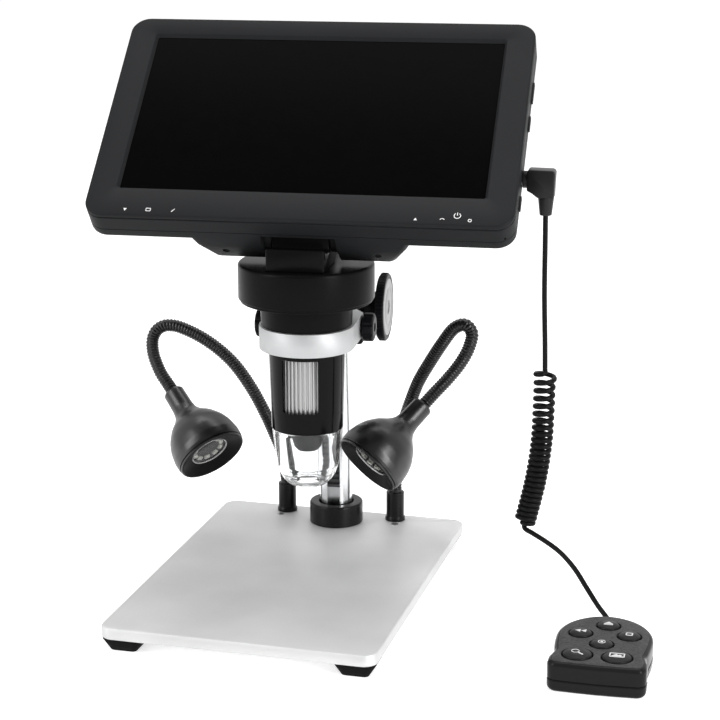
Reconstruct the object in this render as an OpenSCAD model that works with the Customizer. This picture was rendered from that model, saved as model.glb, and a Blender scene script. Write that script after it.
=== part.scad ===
// Desktop digital microscope: a tilting 7 inch screen on an optical head, held by a rack-and-pinion
// stand with two gooseneck lamps, and a wired remote control on a curly cord.
// Millimetres. +Z is up, the user stands at -Y. The origin is on the table, under the base plate's centre.

/* [Base] */
// Width of the base plate
base_w = 118; // [105:1:140]
// Depth of the base plate
base_d = 168; // [160:1:190]
// Thickness of the base plate
base_t = 5; // [4.5:0.5:8]
// Corner radius of the base plate
base_corner = 6; // [3:0.5:9]
// Height of the feet
foot_h = 6; // [5:0.5:10]
// Width of a foot where it meets the plate
foot_top = 19; // [15:0.5:24]
// Width of a foot where it meets the table
foot_tip = 11.5; // [9:0.5:14]

/* [Column] */
// Diameter of the column
column_d = 15; // [14.5:0.5:17]
// Height of the column above the plate
column_h = 151.5; // [146:0.5:153]
// Distance of the column from the plate's rear edge
column_edge = 15; // [14:0.5:19]
// Turn of the column, the arm and the head about the column
stand_turn = 5; // [0:1:8]
// Width of the groove that holds the rack
groove_w = 6; // [5:0.5:7]
// Depth of that groove below the column's front
groove_depth = 3.5; // [3:0.25:4]
// Outer diameter of the collar at the column's foot
collar_d = 25; // [22:0.5:30]
// Height of that collar
collar_h = 10; // [7:0.5:14]
// Diameter of the bolt that holds the column
bolt_d = 6; // [4:0.5:7]

/* [Focus drive] */
// Module of the rack and the pinion
gear_module = 0.8; // [0.7:0.05:0.85]
// Number of teeth on the pinion
pinion_teeth = 12; // [12:1:13]
// Face width of the pinion
pinion_w = 5; // [3:0.5:5.5]
// Diameter of the focus shaft
shaft_d = 5; // [4:0.5:5.5]
// Diameter of the focus knob
knob_d = 31; // [24:0.5:36]
// Thickness of the focus knob
knob_t = 4; // [3:0.2:8]
// Width of the carriage
carriage_w = 31; // [28:1:34]
// Height of the carriage
carriage_h = 32; // [24:1:36]
// Thickness of the liner between the carriage and the column
liner_t = 1.2; // [0.8:0.1:1.6]

/* [Clamp] */
// Distance from the column to the optical axis
arm_reach = 65.7; // [62:0.5:72]
// Outer diameter of the clamp ring
ring_d = 41; // [38:0.5:44]
// Height of the clamp ring
ring_h = 10; // [8:0.5:12]
// Diameter of the clamp screw
clamp_screw_d = 4; // [3:0.5:4.5]
// Diameter of the two clamp knobs
clamp_knob_d = 12.5; // [9:0.5:14]
// Length of a clamp knob
clamp_knob_t = 5.6; // [4:0.2:7]

/* [Optical head] */
// Height of the barrel's lower end above the plate
lens_height = 66; // [60:1:70]
// Diameter of the barrel where the ring clamps it
barrel_d = 33; // [32:0.5:34]
// How much narrower the barrel is at its lower end
barrel_taper = 2; // [1:0.25:3]
// Length of the barrel's tapered part
barrel_h = 35.7; // [34:0.5:40]
// Wall of the barrel at its lower end
barrel_wall = 1.3; // [1:0.1:1.5]
// Width of the window in front of the focus wheel
window_w = 15.9; // [12:0.5:18]
// Diameter of the disc housing
disc_d = 58.4; // [54:0.5:64]
// Height of the disc housing
disc_h = 15.5; // [14:0.5:19]
// Height of the neck under the disc housing
neck_h = 10.6; // [7:0.1:12]
// Width of the block that carries the screen
block_w = 24.8; // [20:0.5:26]
// Depth of that block
block_d = 14; // [12:0.5:15]
// How far its foot reaches forwards on the disc
block_toe = 12; // [0:0.5:13]
// Height of the tilt axis above the disc housing
tilt_h = 12.8; // [12.5:0.1:14]
// Diameter of the tilt pin
tilt_pin_d = 4; // [3:0.5:5]

/* [Screen] */
// Lean of the screen back from upright
lean = 49.8; // [45:0.2:52]
// Width of the screen's visible window
window_x = 155; // [150:1:158]
// Height of the screen's visible window
window_y = 87; // [84:1:89]
// Width of the housing's face beside the window
side_border = 13.15; // [11.15:0.25:16.15]
// Width of the housing's face above the window
top_border = 10.9; // [9.9:0.1:13]
// Width of the housing's face below the window
chin = 15.8; // [15:0.1:18]
// Thickness of the screen housing
housing_t = 15.5; // [14.5:0.5:18]
// Corner radius of the screen housing
housing_corner = 8; // [5:0.5:12]
// Depth of the hump on the back of the housing
hump_t = 15.3; // [14.5:0.5:15.5]
// Wall of the housing
wall = 2; // [1.6:0.1:2.2]

/* [Lamps] */
// Sideways distance of a lamp's socket from the middle
lamp_x = 26.7; // [22:0.5:32]
// Distance of the lamp sockets from the plate's rear edge
lamp_edge = 7; // [6:0.5:10]
// Height of a lamp socket
sleeve_h = 14; // [10:0.5:18]
// Outer diameter of a lamp socket
sleeve_d = 8.4; // [8:0.1:10]
// Diameter of a gooseneck
goose_d = 6.2; // [5:0.1:6.6]
// Diameter of a lamp head
lamp_d = 33.2; // [30:0.2:36]
// Length of a lamp head
lamp_len = 39.4; // [37:0.2:42]

/* [Remote control] */
// Sideways place of the remote control
remote_x = 144.3; // [140:0.1:150]
// Front-to-back place of the remote control
remote_y = -43; // [-46:1:-40]
// Turn of the remote control
remote_turn = 2; // [0:1:12]
// Height of the remote control's casing
remote_h = 12.6; // [12:0.1:14]
// Diameter of its four small keys
key_d = 9; // [7:0.5:9.5]
// Diameter of its two large keys
big_key_d = 11.5; // [10:0.5:12]
// Travel of a key
key_travel = 0.8; // [0.5:0.1:0.9]

/* [Cord] */
// Diameter of the remote control's cord
cord_d = 2.2; // [1.5:0.1:2.6]
// Outer diameter of the cord's curly part
coil_d = 9.8; // [8:0.1:11]

/* [Hidden] */
$fn = 64;

// Clearances
run_gap = 0.06;      // a shaft in its bearing, all round
slip_gap = 0.3;      // between curved faces that move past each other
seat_gap = 0.05;     // between a piece and the place it drops into
eps = 1;             // how far a cutter reaches past a face

// Base and column
plate_top = foot_h + base_t;
column_y = base_d / 2 - column_edge;
foot_hole_d = 2.6;
foot_head_d = 5.4;
foot_head_gap = 0.3;
foot_recess = 1.5;
foot_head_t = 1.8;
screw_hole_gap = 0.1;
plate_grip = 4;
screw_end_gap = 0.5;
trim_screw_d = 2.2;
trim_screw_x = lamp_x + 1.6;
trim_screw_y = base_d / 2 - lamp_edge - 7;
trim_screw_h = 4;
trim_screw_rise = 0.2;
bolt_head_d = 1.7 * bolt_d;
bolt_head_t = 2.4;
bolt_reach = 13;
collar_gap = 0.7;
collar_foot = 3;
collar_screw_d = 3;
cap_t = 2.5;
cap_over = 0.4;
cap_pin_d = 6;
cap_pin_h = 8;
spigot_d = 5;
spigot_h = 4.5;
lamp_y = base_d / 2 - lamp_edge;
sleeve_floor = 4;

// Rack and pinion: the rack's teeth point forwards, the pinion runs in front of them
pitch = PI * gear_module;
pitch_r = gear_module * pinion_teeth / 2;
addendum = 0.7 * gear_module;
dedendum = 1.0 * gear_module;
tooth_half = 0.42 * pitch / 2;
flank = tan(20);
groove_floor = column_d / 2 - groove_depth;
rack_w = groove_w - 2 * seat_gap;
rack_back = 1.2;
rack_pitch_y = groove_floor + rack_back + dedendum;
rack_foot = 18;
shaft_y = rack_pitch_y + pitch_r;

// Carriage, seen from the column's axis
ring_z = plate_top + lens_height + barrel_h;
ring_mid = ring_z + ring_h / 2;
shaft_rise = 0.7;
shaft_z = ring_mid + shaft_rise;
carriage_drop = 0.4;
carriage_z = shaft_z - carriage_h / 2 - carriage_drop;
pinion_room = 0.7;
cavity_r = pitch_r + addendum + pinion_room;
carriage_wall = 1.4;
carriage_front = shaft_y + cavity_r + carriage_wall;
carriage_back = column_d / 2 + 6;
liner_r = column_d / 2 + run_gap + liner_t;
liner_slot = groove_w / 2 + 0.4;
shaft_boss_d = shaft_d + 3.6;
shaft_boss_t = 4.6;
tension_t = 1.9;
tension_d = 13.8;
side_play = 0.2;
tension_in = carriage_w / 2 + shaft_boss_t + side_play;
knob_in = tension_in + tension_t + side_play;
face_d = knob_d - 5;
face_t = 0.8;
shaft_end = 2;
ledge_t = 5;
ledge_d = 9;
ledge_w = 22;
arm_screw_d = 3;
arm_screw_x = 6.5;
arm_screw_head_d = 5.5;
arm_screw_head_t = 2;
arm_screw_y = arm_reach - carriage_front - ledge_d / 2;
cheek_back = 24;
clamp_slot_w = 2.4;
clamp_slot_end = 34;
clamp_y = barrel_d / 2 + clamp_screw_d / 2 + 0.5;
clamp_knob_gap = 0.3;

// Optical head, seen from the optical axis
barrel_z = plate_top + lens_height;
neck_z = ring_z + ring_h + 0.2;
flange_t = 1.2;
flange_z = neck_z + neck_h;
disc_z = flange_z + flange_t;
disc_top = disc_z + disc_h;
disc_wall = 2.2;
neck_d = ring_d - 1.1;
neck_taper = 0.8;
neck_roof = 1;
barrel_tip_d = barrel_d - barrel_taper;
barrel_bore = barrel_tip_d / 2 - barrel_wall;
shelf_z = barrel_z + 5.2;
shelf_t = 3;
shelf_w = 3.2;
carrier_hole = barrel_bore - shelf_w;
wheel_gap = 0.2;
stop_z = ring_z - 1.3;
stop_t = 2;
barrel_top = flange_z - neck_roof;
window_z = barrel_z + 9.6;
window_h = ring_z - 2.7 - window_z;
board_gap = 0.3;
sensor_w = 8;
sensor_t = 1;
sensor_plug = [10, 4, 3.8];
cable_hole = 8;
wheel_r = barrel_bore - slip_gap;
wheel_bore = carrier_hole + 0.1;
wheel_ribs = 46;
rib_depth = 0.5;
carrier_r = carrier_hole - 0.25;
carrier_z = barrel_z + 11;
carrier_h = 18;
nose_r = 7.15;
nose_drop = 10;
lens_r = 3;
led_count = 8;
led_d = 3;
led_ring_r = barrel_bore - 3.8;
led_board_t = 1.4;
cap_h = 25.4;
cap_wall = 1.2;
cap_spigot = 3;
block_y = -5;
toe_front = block_y - block_d / 2 - block_toe;
toe_bend = block_y - block_d / 2 - block_toe / 2;
toe_h = tilt_h - 3;
toe_low = tilt_h - 5.2;
tilt_z = disc_top + tilt_h;

// Screen, seen in its own frame: X right, Y up along the screen, Z out of the glass
glass_in = 1.5;
housing_w = window_x + 2 * side_border;
housing_h = window_y + top_border + chin;
housing_dy = (top_border - chin) / 2;
housing_bottom = housing_dy - housing_h / 2;
tilt_in = 9.5;
tilt_up = -housing_bottom - tilt_in;
tilt_back = 19.1;
face_z = glass_in;
back_z = glass_in - housing_t;
bezel_t = 2.1;
groove_t = 0.5;
groove_in = 0.8;
seam_z = -8.5;
frame_z = face_z - bezel_t - groove_t;
lip_w = 3;
lcd_gap = 0.1;
lcd_rim = 4.5;
lcd_x = window_x + 2 * lcd_rim;
lcd_y = window_y + 2 * lcd_rim;
lcd_t = 2.4;
lcd_z = face_z - bezel_t;
plate_z = lcd_z - lcd_t;
mid_plate_t = 1;
mid_hole_x = window_x - 35;
mid_hole_y = window_y - 17;
board_z = plate_z - mid_plate_t;
board_t = 1.6;
board_over = 3;
board_edge = 2;
// Each chip: its corner on the board, and its size
chips = [[[-40, -12], [24, 24, 2]], [[0, 8], [16, 16, 1.6]], [[20, -26], [20, 12, 2.4]]];
chip_seat = 0.2;
hump_top = 6;
hump_root = 50;
hump_lean = 6;
hump_tip = 39.4;
hump_dark = -17.5;
hump_back = back_z - hump_t;
hump_cut = 3.6;
pocket_w = block_w + 6.8;
pocket_y = housing_bottom + 18.3;
ear_d = 10;
ear_gap = 0.2;
post_d = 6;
post_x = housing_w / 2 - 10;
post_y = housing_h / 2 - 8;
post_screw_d = 2.4;
post_head_d = 4.4;
post_head_gap = 0.2;
post_head_t = 1.2;
port_z = -8.2;
port_h = 2.6;
port_depth = 10;
socket_gap = 0.2;
socket_shell = 0.3;
// Jack's body: half its width, how far it reaches below its hole's axis, and its length behind the plug's tip
jack_body = [3, 1.6, 2];
jack_y = -23.8;
jack_z = -10.3;
jack_d = 2.5;
pocket_roof = 1.5;
// Each port: its place up the side, and its width
ports = [[22.5, 11.3], [4.9, 7.8], [-38.9, 7.3]];
battery_size = [60, 33, 7];

// Lamps. Each route starts at the top of the lamp's socket and ends where the head is pivoted.
route_left = [
    [0, 0, 0], [-1, -0.5, 8], [-2.5, -1, 16], [-6, -2, 25.5], [-9.5, -4, 35], [-15.5, -6, 47.5],
    [-23.5, -9.5, 60.5], [-34, -13, 70.5], [-45, -16.5, 77], [-52, -18.5, 78.5], [-56.5, -20, 76.5],
    [-58.5, -21.5, 72], [-57.5, -23.5, 65.5], [-53.8, -25.5, 58], [-49.7, -27, 53], [-46.5, -29, 50]
];
route_right = [
    [0, 0, 0], [0.5, -0.3, 10.5], [1.5, -1, 23.5], [4.5, -2.5, 35], [8.5, -4.5, 46.5], [12.5, -6, 56.5],
    [18.5, -8, 67], [24.5, -10.5, 76.5], [30, -12, 84], [35.5, -13.5, 86.5], [39, -14.5, 83],
    [38, -16, 76.5], [34.5, -17.5, 69.5], [29.5, -19.3, 62.7], [23.5, -22.2, 55.8], [19.8, -25.5, 51.5]
];
// Where each lamp head points, away from its pivot
aim_left = [26, -18, -25];
aim_right = [-21, -24, -24];
goose_sides = 12;
goose_steps = 3;
goose_step = 0.1;
goose_dip = 9.7;
goose_lead = 2;
lamp_gap = 0.6;
lamp_lens_d = 18;

// Remote control, seen from the middle of its round end
remote_half_w = 19.6;
remote_back = 22.6;
// Its waist, its front corner's centre and radius, and the swell of its front edge
remote_waist = [[19.4, -6], [18.9, -12], [18.3, -16.5], [18.9, -20], [19.6, -23]];
remote_corner = [15.4, -26.8];
remote_corner_r = 4.2;
remote_front = [[-8, -31.4], [0, -31.6], [8, -31.4]];
remote_post_d = 4;
remote_posts = [[-12, -22], [12, -22], [-12, 8], [12, 8]];
remote_seam = 5;
remote_wall = 1.6;
remote_round = 1.6;
remote_board_z = 6;
remote_board_t = 1.2;
key_rise = 1.4;
key_gap = 0.15;
key_flange = 0.8;
key_stem_d = 3;
small_keys = [[0.4, 10.8], [-9.8, 0.8], [9.8, 1.4], [-0.2, -8.8]];
big_keys = [[-8.5, -21], [7.2, -21]];
boss_d = 3.8;
boss_y = 23.9;
boss_z = 7.8;

// Cord. The first point comes from the plug; the others are chosen by hand.
plug_out = 9.9;
plug_drop = 14.9;
plug_collar_d = 7.2;
plug_collar_t = 2;
plug_t = 8.4;
upper_route = [[105.2, 21.4, 160], [105.4, 21.3, 138], [106.2, 21, 116], [106.5, 20.9, 104.4]];
coil_route = [[106.5, 20.9, 104], [106.3, 20.8, 88], [105.7, 20.6, 72], [103.7, 20, 56], [100.8, 19.2, 42], [99.4, 18.6, 36]];
lower_route = [
    [99.3, 18.4, 35.4], [100, 17.4, 33.6], [103.5, 14.6, 33], [110.5, 9.5, 31.5], [118, 4, 29], [125, -1.5, 24.5],
    [131, -6.5, 18.5], [136.5, -10.8, 12.8], [140.8, -14.6, 9.6], [142.9, -17.1, 8.3], [143.5, -19.1, 7.8]
];
cord_sides = 8;
cord_steps = 2;

// ---- Frames ----

// Stands its children at the column's foot, turned as the stand is
module on_stand() {
    translate([0, column_y, 0]) rotate(stand_turn) children();
}

// Stands its children on the optical axis
module on_axis() {
    on_stand() translate([0, -arm_reach, 0]) children();
}

// Puts its children in the screen's own frame
module on_screen() {
    on_axis() translate([0, block_y, tilt_z]) rotate([90 - lean, 0, 0])
        translate([0, tilt_up, tilt_back]) children();
}

// Puts its children in the remote control's own frame
module on_remote() {
    translate([remote_x, remote_y, 0]) rotate(remote_turn) children();
}

// Turns its children's +Z axis along v
module along(v) {
    rotate([0, acos(v.z / norm(v)), atan2(v.y, v.x)]) children();
}

// A point of the optical axis' frame, in the row frame
function row_point(p) = [
    (p.x) * cos(stand_turn) - (p.y - arm_reach) * sin(stand_turn),
    column_y + (p.x) * sin(stand_turn) + (p.y - arm_reach) * cos(stand_turn),
    p.z
];

// A point of the screen's frame, in the optical axis' frame
function screen_point(p) = [
    p.x,
    block_y + (p.y + tilt_up) * sin(lean) - (p.z + tilt_back) * cos(lean),
    tilt_z + (p.y + tilt_up) * cos(lean) + (p.z + tilt_back) * sin(lean)
];

// ---- Shapes ----

// A flat slab with rounded corners, centred, standing on z = 0
module slab(w, d, h, r) {
    linear_extrude(h) slab_outline(w, d, r);
}

module slab_outline(w, d, r) {
    square([w - 2 * r, d], center = true);
    square([w, d - 2 * r], center = true);
    for (x = [-1, 1], y = [-1, 1]) translate([x * (w / 2 - r), y * (d / 2 - r)]) circle(r);
}

// A rod along X from x0 to x1
module rod(x0, x1, d) {
    translate([x0, 0, 0]) rotate([0, 90, 0]) cylinder(d = d, h = x1 - x0);
}

// A box given by its lowest and highest corners
module block(low, high) {
    translate(low) cube(high - low);
}

function unit(v) = v / norm(v);

// Catmull-Rom curve through points p, with n steps a span
function curve(p, n) = [
    for (i = [0 : len(p) - 2], k = [0 : n - 1])
        let (
            a = p[max(i - 1, 0)], b = p[i], c = p[i + 1], d = p[min(i + 2, len(p) - 1)], t = k / n
        )
        0.5 * (2 * b + (c - a) * t + (2 * a - 5 * b + 4 * c - d) * t * t + (3 * b - a - 3 * c + d) * t * t * t),
    p[len(p) - 1]
];

// Ring of points round p, square to direction t
function ring_points(p, t, r, n) =
    let (u = unit(cross(t, [0, 1, 0])), v = cross(t, u))
    [for (k = [0 : n - 1]) p + r * (cos(360 * k / n) * u + sin(360 * k / n) * v)];

// Direction of a path at point i
function heading(path, i) = unit(path[min(i + 1, len(path) - 1)] - path[max(i - 1, 0)]);

// Closed skin through a list of rings that have as many points each
module skin(rings) {
    n = len(rings[0]);
    m = len(rings);
    polyhedron(
        points = [for (r = rings) each r],
        faces = concat(
            [[for (k = [0 : n - 1]) k]],
            [for (i = [0 : m - 2], k = [0 : n - 1]) [i * n + k, (i + 1) * n + k, i * n + (k + 1) % n]],
            [for (i = [0 : m - 2], k = [0 : n - 1])
                [i * n + (k + 1) % n, (i + 1) * n + k, (i + 1) * n + (k + 1) % n]],
            [[for (k = [n - 1 : -1 : 0]) (m - 1) * n + k]]
        )
    );
}

// Tube along a path
module tube(path, d, n) {
    skin([for (i = [0 : len(path) - 1]) ring_points(path[i], heading(path, i), d / 2, n)]);
}

// ---- Base ----

function foot_places() = [
    for (x = [-1, 1], y = [-1, 1]) [x * (base_w - foot_top) / 2, y * (base_d - foot_top) / 2]
];

module base_plate() {
    color("silver") difference() {
        translate([0, 0, foot_h]) slab(base_w, base_d, base_t, base_corner);
        on_stand() translate([0, 0, foot_h - eps]) cylinder(d = bolt_d + 2 * seat_gap, h = base_t + 2 * eps);
        for (p = foot_places()) translate([p.x, p.y, foot_h - eps])
            cylinder(d = foot_hole_d, h = plate_grip + eps);
        for (x = [-1, 1]) {
            translate([x * lamp_x, lamp_y, plate_top - spigot_h - seat_gap])
                cylinder(d = spigot_d + 2 * seat_gap, h = spigot_h + eps);
            translate([x * trim_screw_x, trim_screw_y, plate_top - trim_screw_h])
                cylinder(d = trim_screw_d + screw_hole_gap, h = trim_screw_h + eps);
        }
    }
}

module base_feet() {
    color("#151515") for (p = foot_places()) difference() {
        translate([p.x, p.y, 0]) foot();
        translate([p.x, p.y, -eps])
            cylinder(d = foot_head_d + 2 * foot_head_gap, h = foot_recess + foot_head_t + eps);
        translate([p.x, p.y, 0]) cylinder(d = foot_hole_d + 2 * foot_head_gap, h = foot_h + eps);
    }
}

// A square pad that narrows towards the table
module foot() {
    skin([
        for (s = [[foot_tip, 0], [foot_top, foot_h]]) [
            for (c = [[-1, -1], [1, -1], [1, 1], [-1, 1]]) [c.x * s[0] / 2, c.y * s[0] / 2, s[1]]
        ]
    ]);
}

module plate_screws() {
    color("gainsboro") {
        for (p = foot_places()) translate([p.x, p.y, foot_recess]) {
            cylinder(d = foot_head_d, h = foot_head_t);
            cylinder(d = foot_hole_d - screw_hole_gap, h = foot_h - foot_recess + plate_grip - screw_end_gap);
        }
        for (x = [-1, 1]) translate([x * trim_screw_x, trim_screw_y, plate_top - trim_screw_h])
            cylinder(d = trim_screw_d, h = trim_screw_h + trim_screw_rise);
    }
}

module column() {
    color("gainsboro") on_stand() difference() {
        translate([0, 0, plate_top]) cylinder(d = column_d, h = column_h);
        block(
            [-groove_w / 2, -column_d, plate_top - eps],
            [groove_w / 2, -groove_floor, plate_top + column_h + eps]
        );
        translate([0, 0, plate_top - eps]) cylinder(d = bolt_d + 2 * seat_gap, h = bolt_reach + 2 * eps);
        translate([0, 0, plate_top + column_h - cap_pin_h - seat_gap])
            cylinder(d = cap_pin_d + 2 * seat_gap, h = cap_pin_h + eps);
    }
}

module column_collar() {
    color("#181818") on_stand() difference() {
        translate([0, 0, plate_top]) cylinder(d = collar_d, h = collar_h);
        translate([0, 0, plate_top - eps]) cylinder(d = column_d + 2 * seat_gap, h = collar_h);
        translate([0, 0, plate_top + collar_foot]) cylinder(d = column_d + 2 * collar_gap, h = collar_h);
        translate([0, 0, plate_top + collar_h - collar_foot]) rotate([-90, 0, 0])
            cylinder(d = collar_screw_d + screw_hole_gap, h = collar_d);
    }
}

module collar_screw() {
    color("dimgray") on_stand() translate([0, column_d / 2 + seat_gap, plate_top + collar_h - collar_foot])
        rotate([-90, 0, 0]) cylinder(d = collar_screw_d, h = (collar_d - column_d) / 2);
}

module column_bolt() {
    color("gainsboro") on_stand() {
        translate([0, 0, foot_h - bolt_head_t]) cylinder(d = bolt_head_d, h = bolt_head_t);
        translate([0, 0, foot_h - bolt_head_t / 2])
            cylinder(d = bolt_d, h = bolt_head_t / 2 + base_t + bolt_reach);
    }
}

module column_cap() {
    color("#181818") on_stand() translate([0, 0, plate_top + column_h]) {
        cylinder(d = column_d + cap_over, h = cap_t);
        translate([0, 0, -cap_pin_h]) cylinder(d = cap_pin_d, h = cap_pin_h + cap_t / 2);
    }
}

// One rack tooth, pointing in -Y, centred on the pitch line at height z
function rack_tooth(z) = [
    for (p = [[-1, -dedendum], [-1, addendum], [1, addendum], [1, -dedendum]])
        [rack_pitch_y + p[1], z + p[0] * (tooth_half - p[1] * flank)]
];

module focus_rack() {
    low = plate_top + rack_foot;
    high = plate_top + column_h - seat_gap;
    first = ceil((low + pitch / 2 - shaft_z) / pitch);
    last = floor((high - pitch / 2 - shaft_z) / pitch);
    color("dimgray") on_stand() rotate([90, 0, -90]) translate([0, 0, -rack_w / 2])
        linear_extrude(rack_w) polygon(concat(
            [[groove_floor + seat_gap, low], [rack_pitch_y - dedendum, low]],
            [for (k = [first : last]) each rack_tooth(shaft_z + k * pitch)],
            [[rack_pitch_y - dedendum, high], [groove_floor + seat_gap, high]]
        ));
}

module lamp_sleeve(side) {
    color("#181818") translate([side * lamp_x, lamp_y, plate_top]) difference() {
        union() {
            cylinder(d = sleeve_d, h = sleeve_h);
            translate([0, 0, -spigot_h]) cylinder(d = spigot_d, h = spigot_h + sleeve_floor / 2);
        }
        translate([0, 0, sleeve_floor]) cylinder(d = goose_d + 2 * run_gap, h = sleeve_h);
    }
}

module lamp_sleeve_left() {
    lamp_sleeve(-1);
}

module lamp_sleeve_right() {
    lamp_sleeve(1);
}

// ---- Carriage and clamp ----

module carriage_block() {
    color("#1c1c1c") on_stand() difference() {
        union() {
            block(
                [-carriage_w / 2, -carriage_front, carriage_z],
                [carriage_w / 2, carriage_back, carriage_z + carriage_h]
            );
            block(
                [-ledge_w / 2, -carriage_front - ledge_d, ring_z - ledge_t],
                [ledge_w / 2, -carriage_front + eps, ring_z]
            );
            translate([0, -shaft_y, shaft_z]) rod(carriage_w / 2 - eps, carriage_w / 2 + shaft_boss_t, shaft_boss_d);
        }
        translate([0, 0, carriage_z - eps]) cylinder(r = liner_r + seat_gap, h = carriage_h + 2 * eps);
        translate([0, -shaft_y, shaft_z]) {
            rod(-carriage_w / 2 + shaft_end, carriage_w, shaft_d + 2 * run_gap);
            rod(-pinion_w / 2 - pinion_room, pinion_w / 2 + pinion_room, 2 * cavity_r);
        }
        for (x = [-1, 1]) translate([x * arm_screw_x, arm_screw_y - arm_reach, ring_z - ledge_t - eps])
            cylinder(d = arm_screw_d + screw_hole_gap, h = ledge_t + 2 * eps);
    }
}

// Split plastic sleeve between the carriage and the column, open in front for the pinion
module carriage_liner() {
    color("#e8e4d8") on_stand() difference() {
        translate([0, 0, carriage_z]) cylinder(r = liner_r, h = carriage_h);
        translate([0, 0, carriage_z - eps]) cylinder(d = column_d + 2 * run_gap, h = carriage_h + 2 * eps);
        block([-liner_slot, -column_d, carriage_z - eps], [liner_slot, 0, carriage_z + carriage_h + eps]);
    }
}

// Ring with two cheeks behind it, drawn together by the clamp screw
module clamp_ring() {
    tail = arm_reach - carriage_front - seat_gap;
    color("gainsboro") on_axis() difference() {
        translate([0, 0, ring_z]) linear_extrude(ring_h) difference() {
            union() {
                circle(d = ring_d);
                polygon([
                    [-ring_d / 2, 0], [ring_d / 2, 0], [ring_d / 2, cheek_back],
                    [ledge_w / 2, tail - ledge_d], [ledge_w / 2, tail],
                    [-ledge_w / 2, tail], [-ledge_w / 2, tail - ledge_d], [-ring_d / 2, cheek_back]
                ]);
            }
            circle(d = barrel_d + 2 * run_gap);
            translate([-clamp_slot_w / 2, 0]) square([clamp_slot_w, clamp_slot_end]);
        }
        translate([0, clamp_y, ring_mid]) rod(-ring_d, ring_d, clamp_screw_d + 2 * run_gap);
        for (x = [-1, 1]) translate([x * arm_screw_x, arm_screw_y, ring_z]) {
            translate([0, 0, -eps]) cylinder(d = arm_screw_d + screw_hole_gap, h = ring_h + 2 * eps);
            translate([0, 0, ring_h - arm_screw_head_t]) cylinder(d = arm_screw_head_d + 0.4, h = ring_h);
        }
    }
}

module arm_screws() {
    color("dimgray") on_axis() for (x = [-1, 1])
        translate([x * arm_screw_x, arm_screw_y, ring_z]) {
            translate([0, 0, ring_h - arm_screw_head_t]) cylinder(d = arm_screw_head_d, h = arm_screw_head_t);
            translate([0, 0, -ledge_t]) cylinder(d = arm_screw_d, h = ledge_t + ring_h - arm_screw_head_t / 2);
        }
}

module tension_collar() {
    color("#181818") on_stand() translate([tension_in, -shaft_y, shaft_z]) difference() {
        rod(0, tension_t, tension_d);
        rod(-eps, tension_t + eps, shaft_d + 2 * run_gap);
    }
}

module focus_knob() {
    color("#181818") on_stand() translate([knob_in, -shaft_y, shaft_z]) difference() {
        rod(0, knob_t, knob_d);
        rod(-eps, knob_t + eps, shaft_d + 2 * seat_gap);
        rod(knob_t - face_t, knob_t + eps, face_d + 2 * seat_gap);
    }
}

module knob_face() {
    color("silver") on_stand() translate([knob_in + knob_t - face_t + seat_gap, -shaft_y, shaft_z])
        rod(0, face_t, face_d);
}

// Outline of the pinion, with a gap between two teeth on its +Y side
function pinion_outline() = [
    for (k = [0 : pinion_teeth - 1], p = [[-1, -dedendum], [-1, 0], [-1, addendum], [1, addendum], [1, 0], [1, -dedendum]])
        let (
            r = pitch_r + p[1],
            half = atan((tooth_half - p[1] * flank) / r),
            a = 90 + 360 * (k + 0.5) / pinion_teeth + p[0] * half
        )
        [r * cos(a), r * sin(a)]
];

module pinion_shaft() {
    color("gainsboro") on_stand() translate([0, -shaft_y, shaft_z]) {
        rod(-carriage_w / 2 + shaft_end + seat_gap, knob_in + knob_t - face_t, shaft_d);
        translate([-pinion_w / 2, 0, 0]) rotate([90, 0, 90]) linear_extrude(pinion_w) polygon(pinion_outline());
    }
}

module clamp_screw() {
    reach = ring_d / 2 + clamp_knob_gap + clamp_knob_t;
    color("dimgray") on_axis() translate([0, clamp_y, ring_mid]) rod(-reach + 1, reach - 1, clamp_screw_d);
}

// A round knob on the clamp screw, on side +1 or -1
module clamp_knob(side) {
    r = clamp_knob_d / 2;
    start = ring_d / 2 + clamp_knob_gap;
    color("#181818") on_axis() translate([side * start, clamp_y, ring_mid]) rotate([0, side * 90, 0]) difference() {
        union() {
            cylinder(r1 = r - 1, r2 = r, h = 1);
            translate([0, 0, 1]) cylinder(r = r, h = clamp_knob_t - 2.4);
            translate([0, 0, clamp_knob_t - 1.4]) cylinder(r1 = r, r2 = r - 1.4, h = 1.4);
        }
        translate([0, 0, -eps]) cylinder(d = clamp_screw_d + 2 * (side > 0 ? seat_gap : run_gap), h = clamp_knob_t);
    }
}

module clamp_knob_right() {
    clamp_knob(1);
}

module clamp_knob_left() {
    clamp_knob(-1);
}

// ---- Optical head ----

module head_cover() {
    color("#1e1e1e") on_axis() difference() {
        translate([0, 0, disc_z]) cylinder(d = disc_d, h = disc_h);
        translate([0, 0, disc_z - eps]) cylinder(d = disc_d - 2 * disc_wall, h = disc_h - disc_wall + eps);
        translate([0, block_y, disc_z]) cylinder(d = cable_hole, h = disc_h + eps);
    }
}

module head_base() {
    color("#1e1e1e") on_axis() difference() {
        union() {
            translate([0, 0, flange_z]) cylinder(d = disc_d - 1.6, h = flange_t);
            translate([0, 0, flange_z]) cylinder(d = disc_d - 2 * disc_wall - 2 * seat_gap, h = flange_t + 4);
            translate([0, 0, neck_z]) cylinder(d1 = neck_d - neck_taper, d2 = neck_d, h = neck_h + 0.01);
        }
        translate([0, 0, neck_z - eps]) cylinder(d = barrel_d + 2 * seat_gap, h = barrel_top - neck_z + eps);
        translate([0, 0, flange_z + flange_t]) cylinder(d = disc_d - 2 * disc_wall - 4, h = disc_h);
        translate([0, 0, neck_z]) cylinder(d = cable_hole, h = disc_h);
    }
}

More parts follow.
